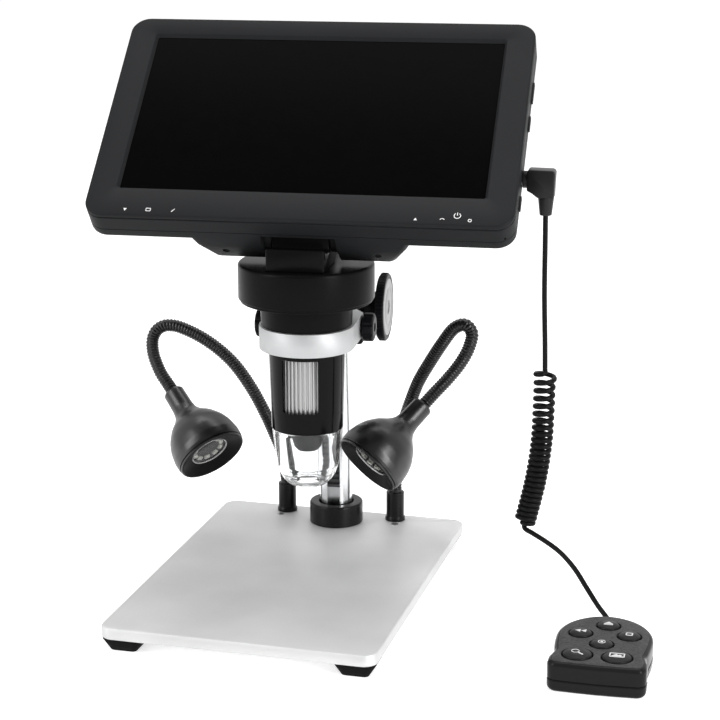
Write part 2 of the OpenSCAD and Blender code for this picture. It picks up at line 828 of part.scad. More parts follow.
module barrel_shell() {
    color("#161616") on_axis() difference() {
        union() {
            translate([0, 0, barrel_z]) cylinder(d1 = barrel_tip_d, d2 = barrel_d, h = ring_z - barrel_z);
            translate([0, 0, ring_z]) cylinder(d = barrel_d, h = barrel_top - seat_gap - ring_z);
        }
        translate([0, 0, barrel_z - eps]) cylinder(r = barrel_bore, h = shelf_z - barrel_z + eps);
        translate([0, 0, barrel_z]) cylinder(r = carrier_hole, h = barrel_top - barrel_z);
        translate([0, 0, shelf_z + shelf_t]) cylinder(r = barrel_bore, h = stop_z - shelf_z - shelf_t);
        translate([0, 0, stop_z + stop_t]) cylinder(r = barrel_bore + board_gap, h = barrel_top);
        block([-window_w / 2, -barrel_d, window_z], [window_w / 2, -barrel_bore / 2, window_z + window_h]);
    }
}

module sensor_board() {
    z = stop_z + stop_t;
    color("darkgreen") on_axis() {
        translate([0, 0, z]) cylinder(r = barrel_bore, h = board_t);
        translate([-sensor_w / 2, -sensor_w / 2, z - sensor_t]) cube([sensor_w, sensor_w, sensor_t + board_t / 2]);
        translate([-sensor_plug.x / 2, sensor_w / 2, z + board_t / 2]) cube(sensor_plug);
    }
}

module led_ring() {
    z = shelf_z - led_board_t;
    color("white") on_axis() {
        difference() {
            translate([0, 0, z]) cylinder(r = barrel_bore - cap_wall - 2 * slip_gap, h = led_board_t);
            translate([0, 0, z - eps]) cylinder(r = nose_r + 1, h = led_board_t + 2 * eps);
        }
        for (k = [0 : led_count - 1]) rotate(360 * (k + 0.5) / led_count)
            translate([led_ring_r, 0, z - led_d / 2]) cylinder(d = led_d, h = led_d / 2 + 0.2);
    }
}

module neck_block() {
    color("#141414") on_axis() difference() {
        union() {
            block([-block_w / 2, block_y - block_d / 2, disc_top], [block_w / 2, block_y + block_d / 2, tilt_z]);
            translate([0, block_y, tilt_z]) rod(-block_w / 2, block_w / 2, block_d);
            translate([-block_w / 2, 0, 0]) rotate([90, 0, 90]) linear_extrude(block_w) polygon([
                [toe_front, disc_top], [toe_front, disc_top + toe_h], [toe_bend, disc_top + toe_low],
                [block_y, disc_top + toe_low], [block_y, disc_top]
            ]);
        }
        translate([0, block_y, tilt_z]) rod(-block_w, block_w, tilt_pin_d + 2 * run_gap);
        translate([0, block_y, disc_top - eps]) cylinder(d = cable_hole - 2, h = tilt_h - tilt_pin_d);
    }
}

module focus_wheel() {
    z0 = shelf_z + shelf_t + wheel_gap;
    h = stop_z - wheel_gap - z0;
    color("gainsboro") on_axis() translate([0, 0, z0]) linear_extrude(h) difference() {
        polygon([
            for (k = [0 : wheel_ribs - 1], s = [[-0.32, 0], [-0.18, 1], [0.18, 1], [0.32, 0]])
                let (a = 360 * (k + s[0]) / wheel_ribs, r = wheel_r - rib_depth * (1 - s[1]))
                [r * cos(a), r * sin(a)]
        ]);
        circle(r = wheel_bore);
    }
}

// Tube that carries the objective, with the nose that looks out of the barrel
module lens_carrier() {
    low = barrel_z - nose_drop;
    color("#202020") on_axis() rotate_extrude() polygon([
        [lens_r, low], [4.4, low], [5.8, low + 1.6], [6.7, low + 4.6], [nose_r, low + 8], [nose_r, carrier_z],
        [carrier_r, carrier_z], [carrier_r, carrier_z + carrier_h], [carrier_r - 2, carrier_z + carrier_h],
        [carrier_r - 2, carrier_z + 2], [lens_r + 2, carrier_z + 2], [lens_r + 2, low + 4], [lens_r, low + 4]
    ]);
}

module objective_lens() {
    low = barrel_z - nose_drop;
    color("lightblue") on_axis() translate([0, 0, low + 1]) cylinder(r = lens_r - seat_gap, h = 2.4);
}

// Clear plastic cap, open at its tip
module clear_cap() {
    r = barrel_tip_d / 2 - 0.3;
    q = barrel_bore - 0.2;
    z = barrel_z - seat_gap;
    low = z - cap_h;
    color("white", 0.35) on_axis() rotate_extrude() polygon([
        [q, z + cap_spigot], [q, z], [r, z], [r, z - 1.5], [r - 1.8, low + 8.4], [r - 3, low + 4.9],
        [r - 4.8, low + 2], [r - 7, low], [5, low], [5, low + cap_wall], [r - 7.4, low + cap_wall],
        [r - 5.6, low + 3], [r - 4.2, low + 5.6], [r - 3.1, low + 8.8], [q - cap_wall, z - 1],
        [q - cap_wall, z + cap_spigot]
    ]);
}

// ---- Screen ----

// A slab of the housing's outline, from z0 up to z1, drawn in by d all round
module housing_slab(z0, z1, d) {
    translate([0, housing_dy, z0]) slab(housing_w - 2 * d, housing_h - 2 * d, z1 - z0, housing_corner - d / 2);
}

module front_bezel() {
    color("#2a2c2f") on_screen() difference() {
        union() {
            housing_slab(face_z - bezel_t, face_z, 0);
            housing_slab(frame_z, face_z - bezel_t + 0.01, groove_in);
        }
        block([-window_x / 2, -window_y / 2, frame_z - eps], [window_x / 2, window_y / 2, face_z + eps]);
        housing_slab(frame_z - eps, face_z - bezel_t, groove_in + lip_w);
    }
}

module mid_frame() {
    color("#26282b") on_screen() difference() {
        union() {
            difference() {
                housing_slab(seam_z, frame_z, 0);
                housing_slab(seam_z - eps, frame_z + eps, wall);
            }
            housing_slab(board_z, plate_z, wall - 0.1);
            posts(seam_z, plate_z - 0.1);
        }
        block([-mid_hole_x / 2, -mid_hole_y / 2, board_z - eps], [mid_hole_x / 2, mid_hole_y / 2, plate_z + eps]);
        post_holes(seam_z - eps, plate_z - mid_plate_t / 2);
        side_holes();
    }
}

// Round posts that the housing's screws run in
module posts(z0, z1) {
    for (x = [-1, 1], y = [-1, 1]) translate([x * post_x, housing_dy + y * post_y, z0])
        cylinder(d = post_d, h = z1 - z0);
}

module post_holes(z0, z1) {
    for (x = [-1, 1], y = [-1, 1]) translate([x * post_x, housing_dy + y * post_y, z0])
        cylinder(d = post_screw_d + screw_hole_gap, h = z1 - z0);
}

// Openings in the right side for the ports and the plug
module side_holes() {
    for (p = ports) block(
        [housing_w / 2 - wall - eps, p[0] - p[1] / 2, port_z - port_h / 2],
        [housing_w, p[0] + p[1] / 2, port_z + port_h / 2]
    );
    translate([0, jack_y, jack_z]) rod(housing_w / 2 - wall - eps, housing_w, plug_collar_d - 1);
}

// The hump, drawn in by d: it narrows towards the back, and its lower edge is cut away
module hump(d) {
    low = housing_bottom + d;
    high = hump_top - d;
    tail = hump_back + d;
    half = housing_w / 2;
    intersection() {
        translate([-half, 0, 0]) rotate([90, 0, 90]) linear_extrude(housing_w) polygon([
            [low, seam_z], [low, hump_dark + d / 2], [low + hump_cut, tail], [high - hump_lean, tail], [high, seam_z]
        ]);
        translate([0, high, 0]) rotate([90, 0, 0]) linear_extrude(high - low) polygon([
            [-hump_root + d, seam_z], [-hump_tip + d, tail], [hump_tip - d, tail], [hump_root - d, seam_z]
        ]);
    }
}

module back_cover() {
    color("#242629") on_screen() {
        difference() {
            union() {
                difference() {
                    back_form(0);
                    back_form(wall);
                }
                intersection() {
                    back_form(0);
                    block(
                        [-pocket_w / 2 - wall, housing_bottom, hump_back],
                        [pocket_w / 2 + wall, pocket_y + wall, seam_z]
                    );
                }
                posts(back_z + wall - 0.1, seam_z);
            }
            block(
                [-pocket_w / 2, housing_bottom - eps, hump_back - eps],
                [pocket_w / 2, pocket_y, seam_z - pocket_roof]
            );
            on_tilt() rod(-pocket_w / 2 - wall / 2, pocket_w / 2 + wall / 2, tilt_pin_d + 2 * seat_gap);
            post_holes(back_z - eps, seam_z + eps);
            for (x = [-1, 1], y = [-1, 1]) translate([x * post_x, housing_dy + y * post_y, back_z - eps])
                cylinder(d = post_head_d + 2 * post_head_gap, h = post_head_t + eps);
            side_holes();
        }
        for (side = [-1, 1]) on_tilt() difference() {
            translate([side * (block_w / 2 + ear_gap), 0, 0]) rotate([0, side * 90, 0])
                cylinder(d = ear_d, h = (pocket_w - block_w + wall) / 2 - ear_gap);
            rod(-pocket_w, pocket_w, tilt_pin_d + 2 * seat_gap);
        }
    }
}

// Solid form of the back cover with its hump, drawn in by d
module back_form(d) {
    housing_slab(back_z + d, seam_z + (d > 0 ? eps : 0), d);
    hump(d);
}

// Puts its children on the tilt axis, in the screen's frame
module on_tilt() {
    translate([0, -tilt_up, -tilt_back]) children();
}

module lcd_panel() {
    color("black") on_screen() {
        block(
            [-window_x / 2 + lcd_gap, -window_y / 2 + lcd_gap, lcd_z - 0.2],
            [window_x / 2 - lcd_gap, window_y / 2 - lcd_gap, 0]
        );
        block([-lcd_x / 2, -lcd_y / 2, plate_z], [lcd_x / 2, lcd_y / 2, lcd_z]);
    }
}

// Circuit board with the sockets that open in the housing's right side
module main_board() {
    edge = housing_w / 2 - wall - seat_gap;
    half_x = mid_hole_x / 2 + board_over;
    half_y = mid_hole_y / 2 + board_over;
    under = board_z - board_t;
    color("darkgreen") on_screen() {
        block([-half_x, -half_y, under], [edge - board_edge, half_y, board_z]);
        for (c = chips) block(
            [c[0].x, c[0].y, under - c[1].z],
            [c[0].x + c[1].x, c[0].y + c[1].y, under + chip_seat]
        );
    }
    color("silver") on_screen() {
        for (p = ports) socket(p[0], p[1] - 2 * socket_gap, edge);
        difference() {
            block(
                [edge - port_depth - jack_body.z, jack_y - jack_body.x, jack_z - jack_body.y],
                [edge, jack_y + jack_body.x, under + chip_seat / 2]
            );
            translate([0, jack_y, jack_z]) rod(edge - port_depth - 1.5, edge + eps, jack_d + 2 * seat_gap);
        }
    }
}

// An open metal shell at height y up the side, w wide, hanging from the board
module socket(y, w, edge) {
    low = port_z - port_h / 2 + socket_gap / 2;
    difference() {
        block([edge - port_depth, y - w / 2, low], [edge, y + w / 2, board_z - board_t + chip_seat / 2]);
        block(
            [edge - port_depth + 1, y - w / 2 + socket_shell, low + socket_shell],
            [edge + eps, y + w / 2 - socket_shell, port_z + port_h / 2 - socket_shell]
        );
    }
}

module battery() {
    color("royalblue") on_screen() translate([
        -battery_size.x / 2, pocket_y + wall + 1, hump_back + wall + seat_gap
    ]) cube(battery_size);
}

module back_screws() {
    color("dimgray") on_screen() for (x = [-1, 1], y = [-1, 1])
        translate([x * post_x, housing_dy + y * post_y, back_z]) {
            cylinder(d = post_head_d, h = post_head_t);
            cylinder(d = post_screw_d, h = board_z - back_z);
        }
}

module tilt_pin() {
    reach = pocket_w / 2 + wall / 2 - seat_gap;
    color("silver") on_screen() on_tilt() rod(-reach, reach, tilt_pin_d);
}

// ---- Lamps ----

function sleeve_top(side) = [side * lamp_x, lamp_y, plate_top + sleeve_h];

// A plain end that turns in the socket, and the flexible neck with a round tip
module goose(side, route) {
    bent = curve(route, goose_steps);
    last = len(bent) - 1;
    tip = heading(bent, last);
    r = goose_d / 2 - goose_step;
    color("#141414") translate(sleeve_top(side)) {
        translate([0, 0, -goose_dip]) cylinder(d = goose_d, h = goose_dip + goose_lead);
        skin(concat(
            [for (i = [0 : last]) ring_points(bent[i], heading(bent, i), r, goose_sides)],
            [for (a = [30 : 20 : 70]) ring_points(bent[last] + r * sin(a) * tip, tip, r * cos(a), goose_sides)]
        ));
    }
}

module goose_left() {
    goose(-1, route_left);
}

module goose_right() {
    goose(1, route_right);
}

// Turned shell: a bell with a tube that the gooseneck ends in. Drawn with its mouth at z = lamp_len.
module lamp_shell(side, route, aim) {
    r = lamp_d / 2;
    lens = lamp_lens_d / 2;
    color("#161616") translate(sleeve_top(side) + route[len(route) - 1]) along(aim) difference() {
        translate([0, 0, lamp_len]) rotate_extrude() polygon([
            [lens, -3], [r - 1.4, -0.2], [r - 0.8, 0], [r - 0.1, -2.5], [r, -5.5], [r - 0.8, -10.5], [r - 2.3, -14.6],
            [r - 5.4, -19.2], [r - 9, -22.6], [r - 11, -25.4], [r - 11.6, -29], [r - 11.8, lamp_gap + 0.6 - lamp_len],
            [r - 12.4, lamp_gap - lamp_len], [0, lamp_gap - lamp_len], [0, -16], [lens, -12]
        ]);
        translate([0, 0, -eps]) cylinder(d = goose_d + 2 * slip_gap + 0.2, h = eps + goose_d / 2 + slip_gap + 0.4);
    }
}

// Reflector, board and lens of a lamp, in the bell's mouth
module lamp_module(side, route, aim) {
    r = lamp_lens_d / 2 - seat_gap;
    color("khaki") translate(sleeve_top(side) + route[len(route) - 1]) along(aim)
        translate([0, 0, lamp_len]) rotate_extrude() polygon([
            [0, -11.9], [r, -11.9], [r, -3.2], [r - 2.2, -2.7], [r - 5, -2.3], [0, -2.1]
        ]);
}

module lamp_shell_left() {
    lamp_shell(-1, route_left, aim_left);
}

module lamp_shell_right() {
    lamp_shell(1, route_right, aim_right);
}

module lamp_module_left() {
    lamp_module(-1, route_left, aim_left);
}

module lamp_module_right() {
    lamp_module(1, route_right, aim_right);
}

// ---- Remote control ----

// Outline of the remote control, counter-clockwise from its right side: a round end behind and a
// flared bar in front
function remote_outline() =
    let (c = remote_corner, r = remote_corner_r, last = len(remote_waist) - 1)
    concat(
        [for (a = [0 : 12 : 180]) [remote_half_w * cos(a), remote_back * sin(a)]],
        [for (p = remote_waist) [-p.x, p.y]],
        [for (a = [180 : 18 : 270]) [-c.x + r * cos(a), c.y + r * sin(a)]],
        remote_front,
        [for (a = [270 : 18 : 360]) [c.x + r * cos(a), c.y + r * sin(a)]],
        [for (i = [last : -1 : 0]) remote_waist[i]]
    );

// That outline drawn in by d and lifted to height z
function remote_ring(d, z) =
    let (p = remote_outline(), n = len(p))
    [
        for (i = [0 : n - 1])
            let (t = unit(p[(i + 1) % n] - p[(i + n - 1) % n]))
            [p[i].x - d * t.y, p[i].y + d * t.x, z]
    ];

module remote_top() {
    color("#3a3b3c") on_remote() difference() {
        union() {
            skin([
                remote_ring(0.15, remote_seam + 0.1), remote_ring(0, remote_seam + 0.8),
                remote_ring(0, remote_h - remote_round), remote_ring(0.5, remote_h - 0.5),
                remote_ring(1.6, remote_h)
            ]);
            translate([0, boss_y, boss_z]) rotate([90, 0, 0]) cylinder(d = boss_d, h = boss_y - 21.6);
        }
        skin([remote_ring(remote_wall, remote_seam - eps), remote_ring(remote_wall, remote_h - remote_wall)]);
        for (p = small_keys) translate([p.x, p.y, 0]) cylinder(d = key_d + 2 * key_gap, h = remote_h + eps);
        for (p = big_keys) translate([p.x, p.y, 0]) cylinder(d = big_key_d + 2 * key_gap, h = remote_h + eps);
    }
}

module remote_bottom() {
    color("#202122") on_remote() difference() {
        skin([
            remote_ring(2, 0), remote_ring(1, 0.6), remote_ring(0.3, 2.2), remote_ring(0, remote_seam - 0.5),
            remote_ring(0.15, remote_seam)
        ]);
        skin([remote_ring(remote_wall + 1, remote_wall), remote_ring(remote_wall, remote_seam + eps)]);
    }
    color("#202122") on_remote() for (p = remote_posts)
        translate([p.x, p.y, remote_wall / 2]) cylinder(d = remote_post_d, h = remote_board_z - remote_wall / 2);
}

module remote_board() {
    color("darkgreen") on_remote() translate([0, 0, remote_board_z])
        linear_extrude(remote_board_t) polygon([for (p = remote_ring(remote_wall + 0.6, 0)) [p.x, p.y]]);
}

// A key of diameter d at place p: cap, flange under the casing, and stem over the board
module remote_key(p, d) {
    roof = remote_h - remote_wall - seat_gap;
    color("#2c2d2e") on_remote() translate([p.x, p.y, 0]) {
        translate([0, 0, roof - key_flange]) cylinder(d = d + 1.2, h = key_flange);
        translate([0, 0, roof - 0.1]) cylinder(d = d, h = remote_h + key_rise - 0.5 - roof + 0.1);
        translate([0, 0, remote_h + key_rise - 0.5]) cylinder(d1 = d, d2 = d - 1.6, h = 0.5);
        translate([0, 0, remote_board_z + remote_board_t + key_travel + 0.1])
            cylinder(d = key_stem_d, h = roof - remote_board_z - remote_board_t - key_travel - 0.2);
    }
}

module key_up() {
    remote_key(small_keys[0], key_d);
}

module key_left() {
    remote_key(small_keys[1], key_d);
}

module key_right() {
    remote_key(small_keys[2], key_d);
}

module key_centre() {
    remote_key(small_keys[3], key_d);
}

module key_zoom() {
    remote_key(big_keys[0], big_key_d);
}

module key_picture() {
    remote_key(big_keys[1], big_key_d);
}

// ---- Cord ----

jack = screen_point([housing_w / 2, jack_y, jack_z]);
cord_exit = row_point(jack + [plug_out, 0, -plug_drop]);

// Right-angle plug whose lead leaves straight down
module cord_plug() {
    color("#141414") on_axis() translate(jack) {
        rod(seat_gap, plug_collar_t + 0.2, plug_collar_d);
        translate([0, plug_t / 2, 0]) rotate([90, 0, 0]) linear_extrude(plug_t) polygon([
            [2.1, 4.6], [13.9, 4.4], [13.4, -7.1], [6.6, -7.1], [4.1, -5.2], [2.1, -4.2]
        ]);
        translate([plug_out, 0, -plug_drop]) cylinder(d1 = 5.4, d2 = 6.7, h = plug_drop - 7);
        translate([0, 0, 0]) rod(-port_depth - 1, seat_gap + 0.1, jack_d);
    }
}

module cord_upper_lead() {
    color("#111111") tube(curve(concat([cord_exit], upper_route), cord_steps), cord_d, cord_sides);
}

module cord_coil() {
    color("#111111") tube(curve(coil_route, cord_steps), coil_d, 12);
}

module cord_lower_lead() {
    color("#111111") tube(curve(lower_route, cord_steps), cord_d, cord_sides);
}

// ---- Nodes ----

base_plate();
base_feet();
plate_screws();
column();
column_collar();
collar_screw();
column_bolt();
column_cap();
focus_rack();
lamp_sleeve_left();
lamp_sleeve_right();
carriage_block();
carriage_liner();
clamp_ring();
arm_screws();
tension_collar();
focus_knob();
knob_face();
pinion_shaft();
clamp_screw();
clamp_knob_right();
clamp_knob_left();
head_cover();
head_base();
barrel_shell();
sensor_board();
led_ring();
neck_block();
focus_wheel();
lens_carrier();
objective_lens();
clear_cap();
front_bezel();
mid_frame();
back_cover();
lcd_panel();
main_board();
battery();
back_screws();
tilt_pin();
cord_plug();
cord_upper_lead();
cord_coil();
cord_lower_lead();
remote_top();
remote_bottom();
remote_board();
key_up();
key_left();
key_right();
key_centre();
key_zoom();
key_picture();
goose_left();
lamp_shell_left();
lamp_module_left();
goose_right();
lamp_shell_right();
lamp_module_right();
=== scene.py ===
"""Looks of an LCD digital microscope on a stand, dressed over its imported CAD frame.

Every sub-assembly of the microscope is a class. It holds its sizes in millimetres, draws its pieces in its
own frame, and hands them to the CAD body that they ride on.
"""

import logging
import math
from dataclasses import dataclass, field
from enum import Enum
from typing import Iterable, Optional, Sequence

import bmesh
import bpy
from mathutils import Matrix, Vector


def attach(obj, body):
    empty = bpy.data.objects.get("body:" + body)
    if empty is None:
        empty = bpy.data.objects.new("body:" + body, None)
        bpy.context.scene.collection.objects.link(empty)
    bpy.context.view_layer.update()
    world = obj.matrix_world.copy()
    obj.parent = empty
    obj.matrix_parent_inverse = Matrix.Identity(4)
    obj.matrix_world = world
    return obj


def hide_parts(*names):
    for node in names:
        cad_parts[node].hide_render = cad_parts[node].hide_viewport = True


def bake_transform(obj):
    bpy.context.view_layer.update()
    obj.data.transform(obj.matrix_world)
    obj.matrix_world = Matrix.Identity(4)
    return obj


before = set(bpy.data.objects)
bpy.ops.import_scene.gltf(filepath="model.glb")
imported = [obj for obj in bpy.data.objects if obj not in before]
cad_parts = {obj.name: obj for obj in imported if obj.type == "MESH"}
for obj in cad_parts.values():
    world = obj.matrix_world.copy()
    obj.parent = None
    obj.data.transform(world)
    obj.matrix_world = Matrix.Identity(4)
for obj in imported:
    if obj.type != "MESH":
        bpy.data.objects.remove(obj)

LOG = logging.getLogger("microscope")
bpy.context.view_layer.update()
MM = 0.001
# Millimetres: a point nearer to Z than ON_AXIS is on it, and points nearer to each other than a weld are one.
ON_AXIS = 1e-6
WELD, BEVEL_WELD = 1e-4, 1e-3
# The part of a noise texture's range that most of its values lie in.
NOISE_LOW, NOISE_HIGH = 0.3, 0.7

Outline = list[tuple[float, float]]
Ring = list[tuple[float, float, float]]
Profile = Sequence[Sequence[float]]
Colour = tuple[float, float, float]


# ---- Frames ----


def shift(x: float, y: float, z: float) -> Matrix:
    """Matrix that moves by x, y and z."""
    return Matrix.Translation((x, y, z))


def turn(degrees: float, axis: str) -> Matrix:
    """Matrix that turns by so many degrees about the axis X, Y or Z."""
    return Matrix.Rotation(math.radians(degrees), 4, axis)


def along(aim: Sequence[float]) -> Matrix:
    """Matrix that turns +Z along aim, first about Y and then about Z."""
    x, y, z = aim
    polar = math.degrees(math.acos(z / math.sqrt(x * x + y * y + z * z)))
    return turn(math.degrees(math.atan2(y, x)), "Z") @ turn(polar, "Y")


# Heights of the base plate, from the table.
PLATE_LOW, PLATE_TOP = 6.0, 11.0
# From the column to the optical axis.
REACH = 65.7
# Degrees that the screen leans back from upright, and how far its middle lies above and before its hinge.
SCREEN_LEAN = 49.8
HINGE_UP, HINGE_DEEP = 49.8, 19.1
# Where the plug goes in, in the screen's own frame.
JACK = (90.65, -23.8, -10.3)
# Where the right lamp's sleeve stands. The left one mirrors it.
LAMP_X, LAMP_Y = 26.7, 77.0
# Where the two screws join the ring to the carriage, in the frame of the optical axis.
ARM_SCREWS = ((-6.5, 42.9), (6.5, 42.9))
# From millimetres to metres, on the table, the column, the optical axis, the hinge, the screen, the remote.
ROW = Matrix.Scale(MM, 4)
STAND = ROW @ shift(0, 69, 0) @ turn(5, "Z")
AXIS = STAND @ shift(0, -REACH, 0)
TILT = AXIS @ shift(0, -5, 163)
SCREEN = TILT @ turn(90 - SCREEN_LEAN, "X") @ shift(0, HINGE_UP, HINGE_DEEP)
REMOTE = ROW @ shift(144.3, -43, 0) @ turn(2, "Z")
# The focus shaft in the column's frame, the clamp screw in the optical axis's, and Z turned to the right.
SHAFT = shift(0, -10.8, 118.4) @ turn(90, "Y")
CLAMP = shift(0, 19, 117.7)
SIDEWAYS = Matrix(((0, 0, 1, 0), (1, 0, 0, 0), (0, 1, 0, 0), (0, 0, 0, 1)))


# ---- Outlines ----


def around(centre: Sequence[float], radius: float, angle: float) -> tuple[float, float]:
    """The point at that radius and angle in radians about a centre."""
    return centre[0] + radius * math.cos(angle), centre[1] + radius * math.sin(angle)


def rounded(corners: Profile, step: float = 15.0) -> Outline:
    """Fillets the corners of a closed outline.

    Args:
        corners: corners as (u, v) or (u, v, fillet radius).
        step: degrees of arc a segment of a fillet covers.

    Returns:
        The outline's points.
    """
    points: Outline = []
    count = len(corners)
    for i, corner in enumerate(corners):
        here = Vector(corner[:2])
        radius = corner[2] if len(corner) > 2 else 0.0
        if radius <= 0:
            points.append((here.x, here.y))
            continue
        back = Vector(corners[i - 1][:2]) - here
        ahead = Vector(corners[(i + 1) % count][:2]) - here
        half = back.angle(ahead) / 2
        reach = min(radius / math.tan(half), 0.49 * back.length, 0.49 * ahead.length)
        radius = reach * math.tan(half)
        back.normalize()
        ahead.normalize()
        centre = here + (back + ahead).normalized() * (radius / math.sin(half))
        first = here + back * reach - centre
        last = here + ahead * reach - centre
        a0 = math.atan2(first.y, first.x)
        sweep = (math.atan2(last.y, last.x) - a0 + math.pi) % (2 * math.pi) - math.pi
        steps = max(2, math.ceil(abs(math.degrees(sweep)) / step))
        points += [around(centre, radius, a0 + sweep * k / steps) for k in range(steps + 1)]
    return points


def rounded_rect(
    width: float, height: float, radius: float, centre: Sequence[float] = (0, 0), steps: int = 8
) -> Outline:
    """Outline of a rectangle with round corners, counter-clockwise.

    Args:
        width: its whole width.
        height: its whole height.
        radius: radius of its corners.
        centre: its middle.
        steps: segments of each corner, so that any size has as many points.

    Returns:
        The outline's points.
    """
    points = []
    for quarter, (sx, sy) in enumerate(((1, 1), (-1, 1), (-1, -1), (1, -1))):
        middle = (centre[0] + sx * (width / 2 - radius), centre[1] + sy * (height / 2 - radius))
        angles = [math.radians(90 * (quarter + k / steps)) for k in range(steps + 1)]
        points += [around(middle, radius, angle) for angle in angles]
    return points


def circle(radius: float, count: int = 48) -> Outline:
    """Outline of a circle about the origin, counter-clockwise."""
    return [around((0, 0), radius, 2 * math.pi * k / count) for k in range(count)]


def at_height(outline: Iterable[Sequence[float]], z: float) -> Ring:
    """The outline's points at height z."""
    return [(x, y, z) for x, y in outline]


def quarter_round(radius: float, first: int = 0) -> Outline:
    """Inset and rise along a quarter round, from upright at 0 degrees to flat at 90."""
    angles = [math.radians(a) for a in range(first, 91, 15)]
    return [(radius * (1 - math.cos(a)), radius * math.sin(a)) for a in angles]


def smooth_path(points: Profile, steps: int) -> list[Vector]:
    """Catmull-Rom curve through points, with so many steps a span.

    Args:
        points: what the curve goes through.
        steps: steps of each span.

    Returns:
        The curve's points.
    """
    p = [Vector(q) for q in points]
    path = []
    for i in range(len(p) - 1):
        a, b, c, d = p[max(i - 1, 0)], p[i], p[i + 1], p[min(i + 2, len(p) - 1)]
        for t in (k / steps for k in range(steps)):
            even = 2 * b + (c - a) * t
            path.append(0.5 * (even + (2 * a - 5 * b + 4 * c - d) * t * t + (3 * b - a - 3 * c + d) * t**3))
    return path + [p[-1]]


def path_length(path: Sequence[Vector]) -> float:
    """Length of a path of points."""
    return sum((b - a).length for a, b in zip(path, path[1:]))


# ---- Scene and nodes ----


def link(name: str, data: bpy.types.ID) -> bpy.types.Object:
    """Makes an object of some data and puts it in the scene."""
    made = bpy.data.objects.new(name, data)
    bpy.context.scene.collection.objects.link(made)
    return made


def settle(host: bpy.types.Object) -> bpy.types.Mesh:
    """Keeps the plain mesh that an object's modifiers leave.

    Args:
        host: the object, which is taken away.

    Returns:
        A mesh of its own.
    """
    bpy.context.view_layer.update()
    done = host.evaluated_get(bpy.context.evaluated_depsgraph_get())
    mesh = bpy.data.meshes.new_from_object(done)
    bpy.data.objects.remove(host)
    return mesh


class Wiring:
    """Adds nodes to a node tree and wires them."""

    def __init__(self, tree: bpy.types.NodeTree) -> None:
        """Keeps the tree that is wired."""
        self.tree = tree

    def feed(self, node: bpy.types.Node, **inputs: object) -> bpy.types.Node:
        """Feeds a node's inputs.

        Args:
            node: the node.
            inputs: sockets to link, or values to set, by the input's name with _ for a space, or by n and
                its number.

        Returns:
            The same node.
        """
        for key, value in inputs.items():
            numbered = key[0] == "n" and key[1:].isdigit()
            socket = node.inputs[int(key[1:]) if numbered else key.replace("_", " ")]
            if isinstance(value, bpy.types.NodeSocket):
                self.tree.links.new(value, socket)
            else:
                socket.default_value = value
        return node

    def add(self, kind: str, **inputs: object) -> bpy.types.Node:
        """Adds a node of that type and feeds its inputs."""
        return self.feed(self.tree.nodes.new(kind), **inputs)

    def sum(self, operation: str, *values: object, kind: str = "ShaderNodeMath") -> bpy.types.Node:
        """Adds a node that works out one or two values."""
        node = self.tree.nodes.new(kind)
        node.operation = operation
        return self.feed(node, **{f"n{i}": value for i, value in enumerate(values)})


# ---- Finishes ----


@dataclass(frozen=True)
class Texture:
    """How a surface breaks the light: noise cells a metre along each axis, bump height, and its spread.

    The tint is how far the colour wanders over the broad cells, as a share of itself.
    """

    cells: tuple[float, float, float]
    bump: float
    depth: float
    roughness: float
    tint: float
    broad: float = 14.0


class Grain(Enum):
    """The kinds of surface that the microscope's makers use."""

    MOULDED = Texture((3400, 3400, 3400), 0.16, 0.00012, 0.05, 0.06)
    SATIN = Texture((2200, 2200, 2200), 0.05, 0.00006, 0.04, 0.04)
    GLOSSY = Texture((160, 160, 160), 0.02, 0.00005, 0.02, 0.02)
    BLASTED = Texture((1300, 1300, 1300), 0.35, 0.00015, 0.06, 0.06, 28.0)
    TURNED = Texture((120, 120, 5200), 0.10, 0.00005, 0.06, 0.03)
    BRUSHED = Texture((3800, 3800, 90), 0.10, 0.00005, 0.06, 0.03)
    RUBBER = Texture((1500, 1500, 1500), 0.22, 0.0002, 0.06, 0.10)
    LEATHER = Texture((1000, 1000, 1000), 0.5, 0.0005, 0.08, 0.3, 800.0)
    BOARD = Texture((700, 700, 700), 0.10, 0.00008, 0.05, 0.20, 300.0)
    CLEAR = Texture((90, 90, 90), 0.01, 0.00004, 0.01, 0.0)


